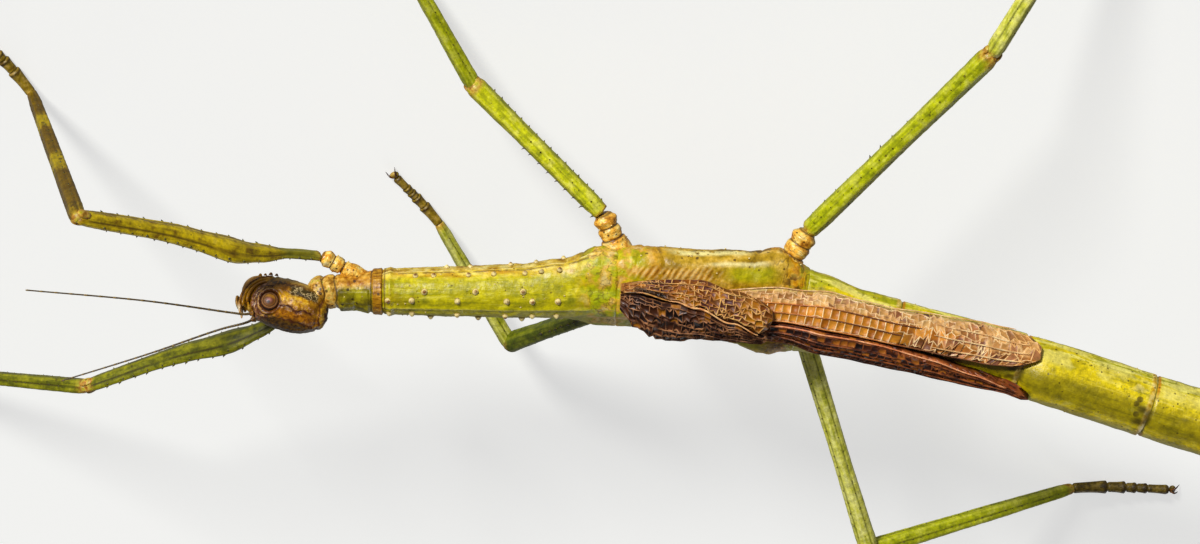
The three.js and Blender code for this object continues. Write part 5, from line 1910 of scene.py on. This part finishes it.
ink = Paint("mouth_shell", coat=0.15)
mouth_x, mouth_y, mouth_z = ink.parts(ink.shell)
off_x = ink.minus(mouth_x, EYE["forward"])
off_z = ink.minus(mouth_z, EYE["up"])
around = ink.reach(off_x, off_z)
fleck = ink.noise(0.18, detail=4, rough=0.65)
wavy = ink.plus(around, ink.times(ink.minus(fleck, 0.5), 0.4))
ink.ground(
    ink.times(wavy, 0.48), (0.0, 64, 32, 16), (0.5, 84, 44, 22), (0.60, 170, 118, 40), (0.71, 194, 142, 54),
    (0.76, 66, 30, 16), (0.81, 176, 122, 56), (0.92, 206, 160, 98),
)
ink.lay((92, 54, 28), ink.step(ink.math("ABSOLUTE", mouth_y), 0.12, 0.02))
ink.lay((226, 206, 168), ink.step(mouth_x, 2.1, 2.3), ink.step(mouth_z, 0.7, 0.95))
mouth_paint = ink.finish(0.34, fleck, 0.02)
finish_piece(bm, "mouthparts_set", [mouth_paint], ["mouthparts"])

# %% [markdown]
# ## The feelers
# A feeler is a stout first joint, a short second one, and then a thread of some dozens of rings,
# each a little thicker at its end. The thread is finer than the solid part that it stands for,
# because the frame keeps half a millimetre everywhere.

# %% Feelers
FEELER_WAY = {
    RIGHT: [(0.5, 0.0, 0.1), (1.2, -0.1, 0.1), (5.8, -0.7, -0.1), (12.4, -1.6, 0.1)],
    LEFT: [(0.5, 0.2, 0.15), (1.9, 0.5, 0.4), (5.9, 2.1, 0.8), (10.9, 3.7, 1.5)],
}
FEELER_RINGS = 34

ink = Paint("feeler_shell", coat=0.1)
ringed = ink.math("FRACT", ink.times(ink.along, FEELER_RINGS))
thread = ink.mix(ink.step(ringed, 0.72, 0.9), (72, 56, 26), (128, 104, 52))
root_tone = ink.ramp(ink.noise(0.2), (0.35, 58, 34, 16), (0.55, 126, 86, 42), (0.68, 196, 152, 88))
ink.tone = thread
ink.lay(root_tone, ink.step(ink.along, 0.14, 0.11))
feeler_paint = ink.finish(0.45, ink.noise(0.05), 0.006)

for hand, mark in SIDES:
    root = on_head(FEELER_ROOT["forward"], -hand * FEELER_ROOT["out"], FEELER_ROOT["up"])
    line = curve_through([root, *[root + Vector(step) for step in FEELER_WAY[hand]]])

    def girth(t):
        if t < 0.075:
            waist = 1 - 0.35 * bell(t - 0.075, 0.006)
            return 0.20 * (0.8 + 0.2 * smooth(t, 0, 0.03)) * waist * rounded(t, 0.01, 0)
        if t < 0.12:
            return 0.14 * (1 - 0.3 * bell(t - 0.12, 0.006))
        ring = (t * FEELER_RINGS) % 1
        return (0.088 - 0.046 * t) * (0.90 + 0.2 * smooth(ring, 0.55, 0.95)) * rounded(t, 0, 0.004)

    bm = new_mesh()
    add_tube(bm, along_line(line, lambda t: (girth(t), girth(t))), sides=12, rings=FEELER_RINGS * 9)
    finish_piece(bm, f"feeler_{mark}", [feeler_paint], [f"antenna_{mark}"])
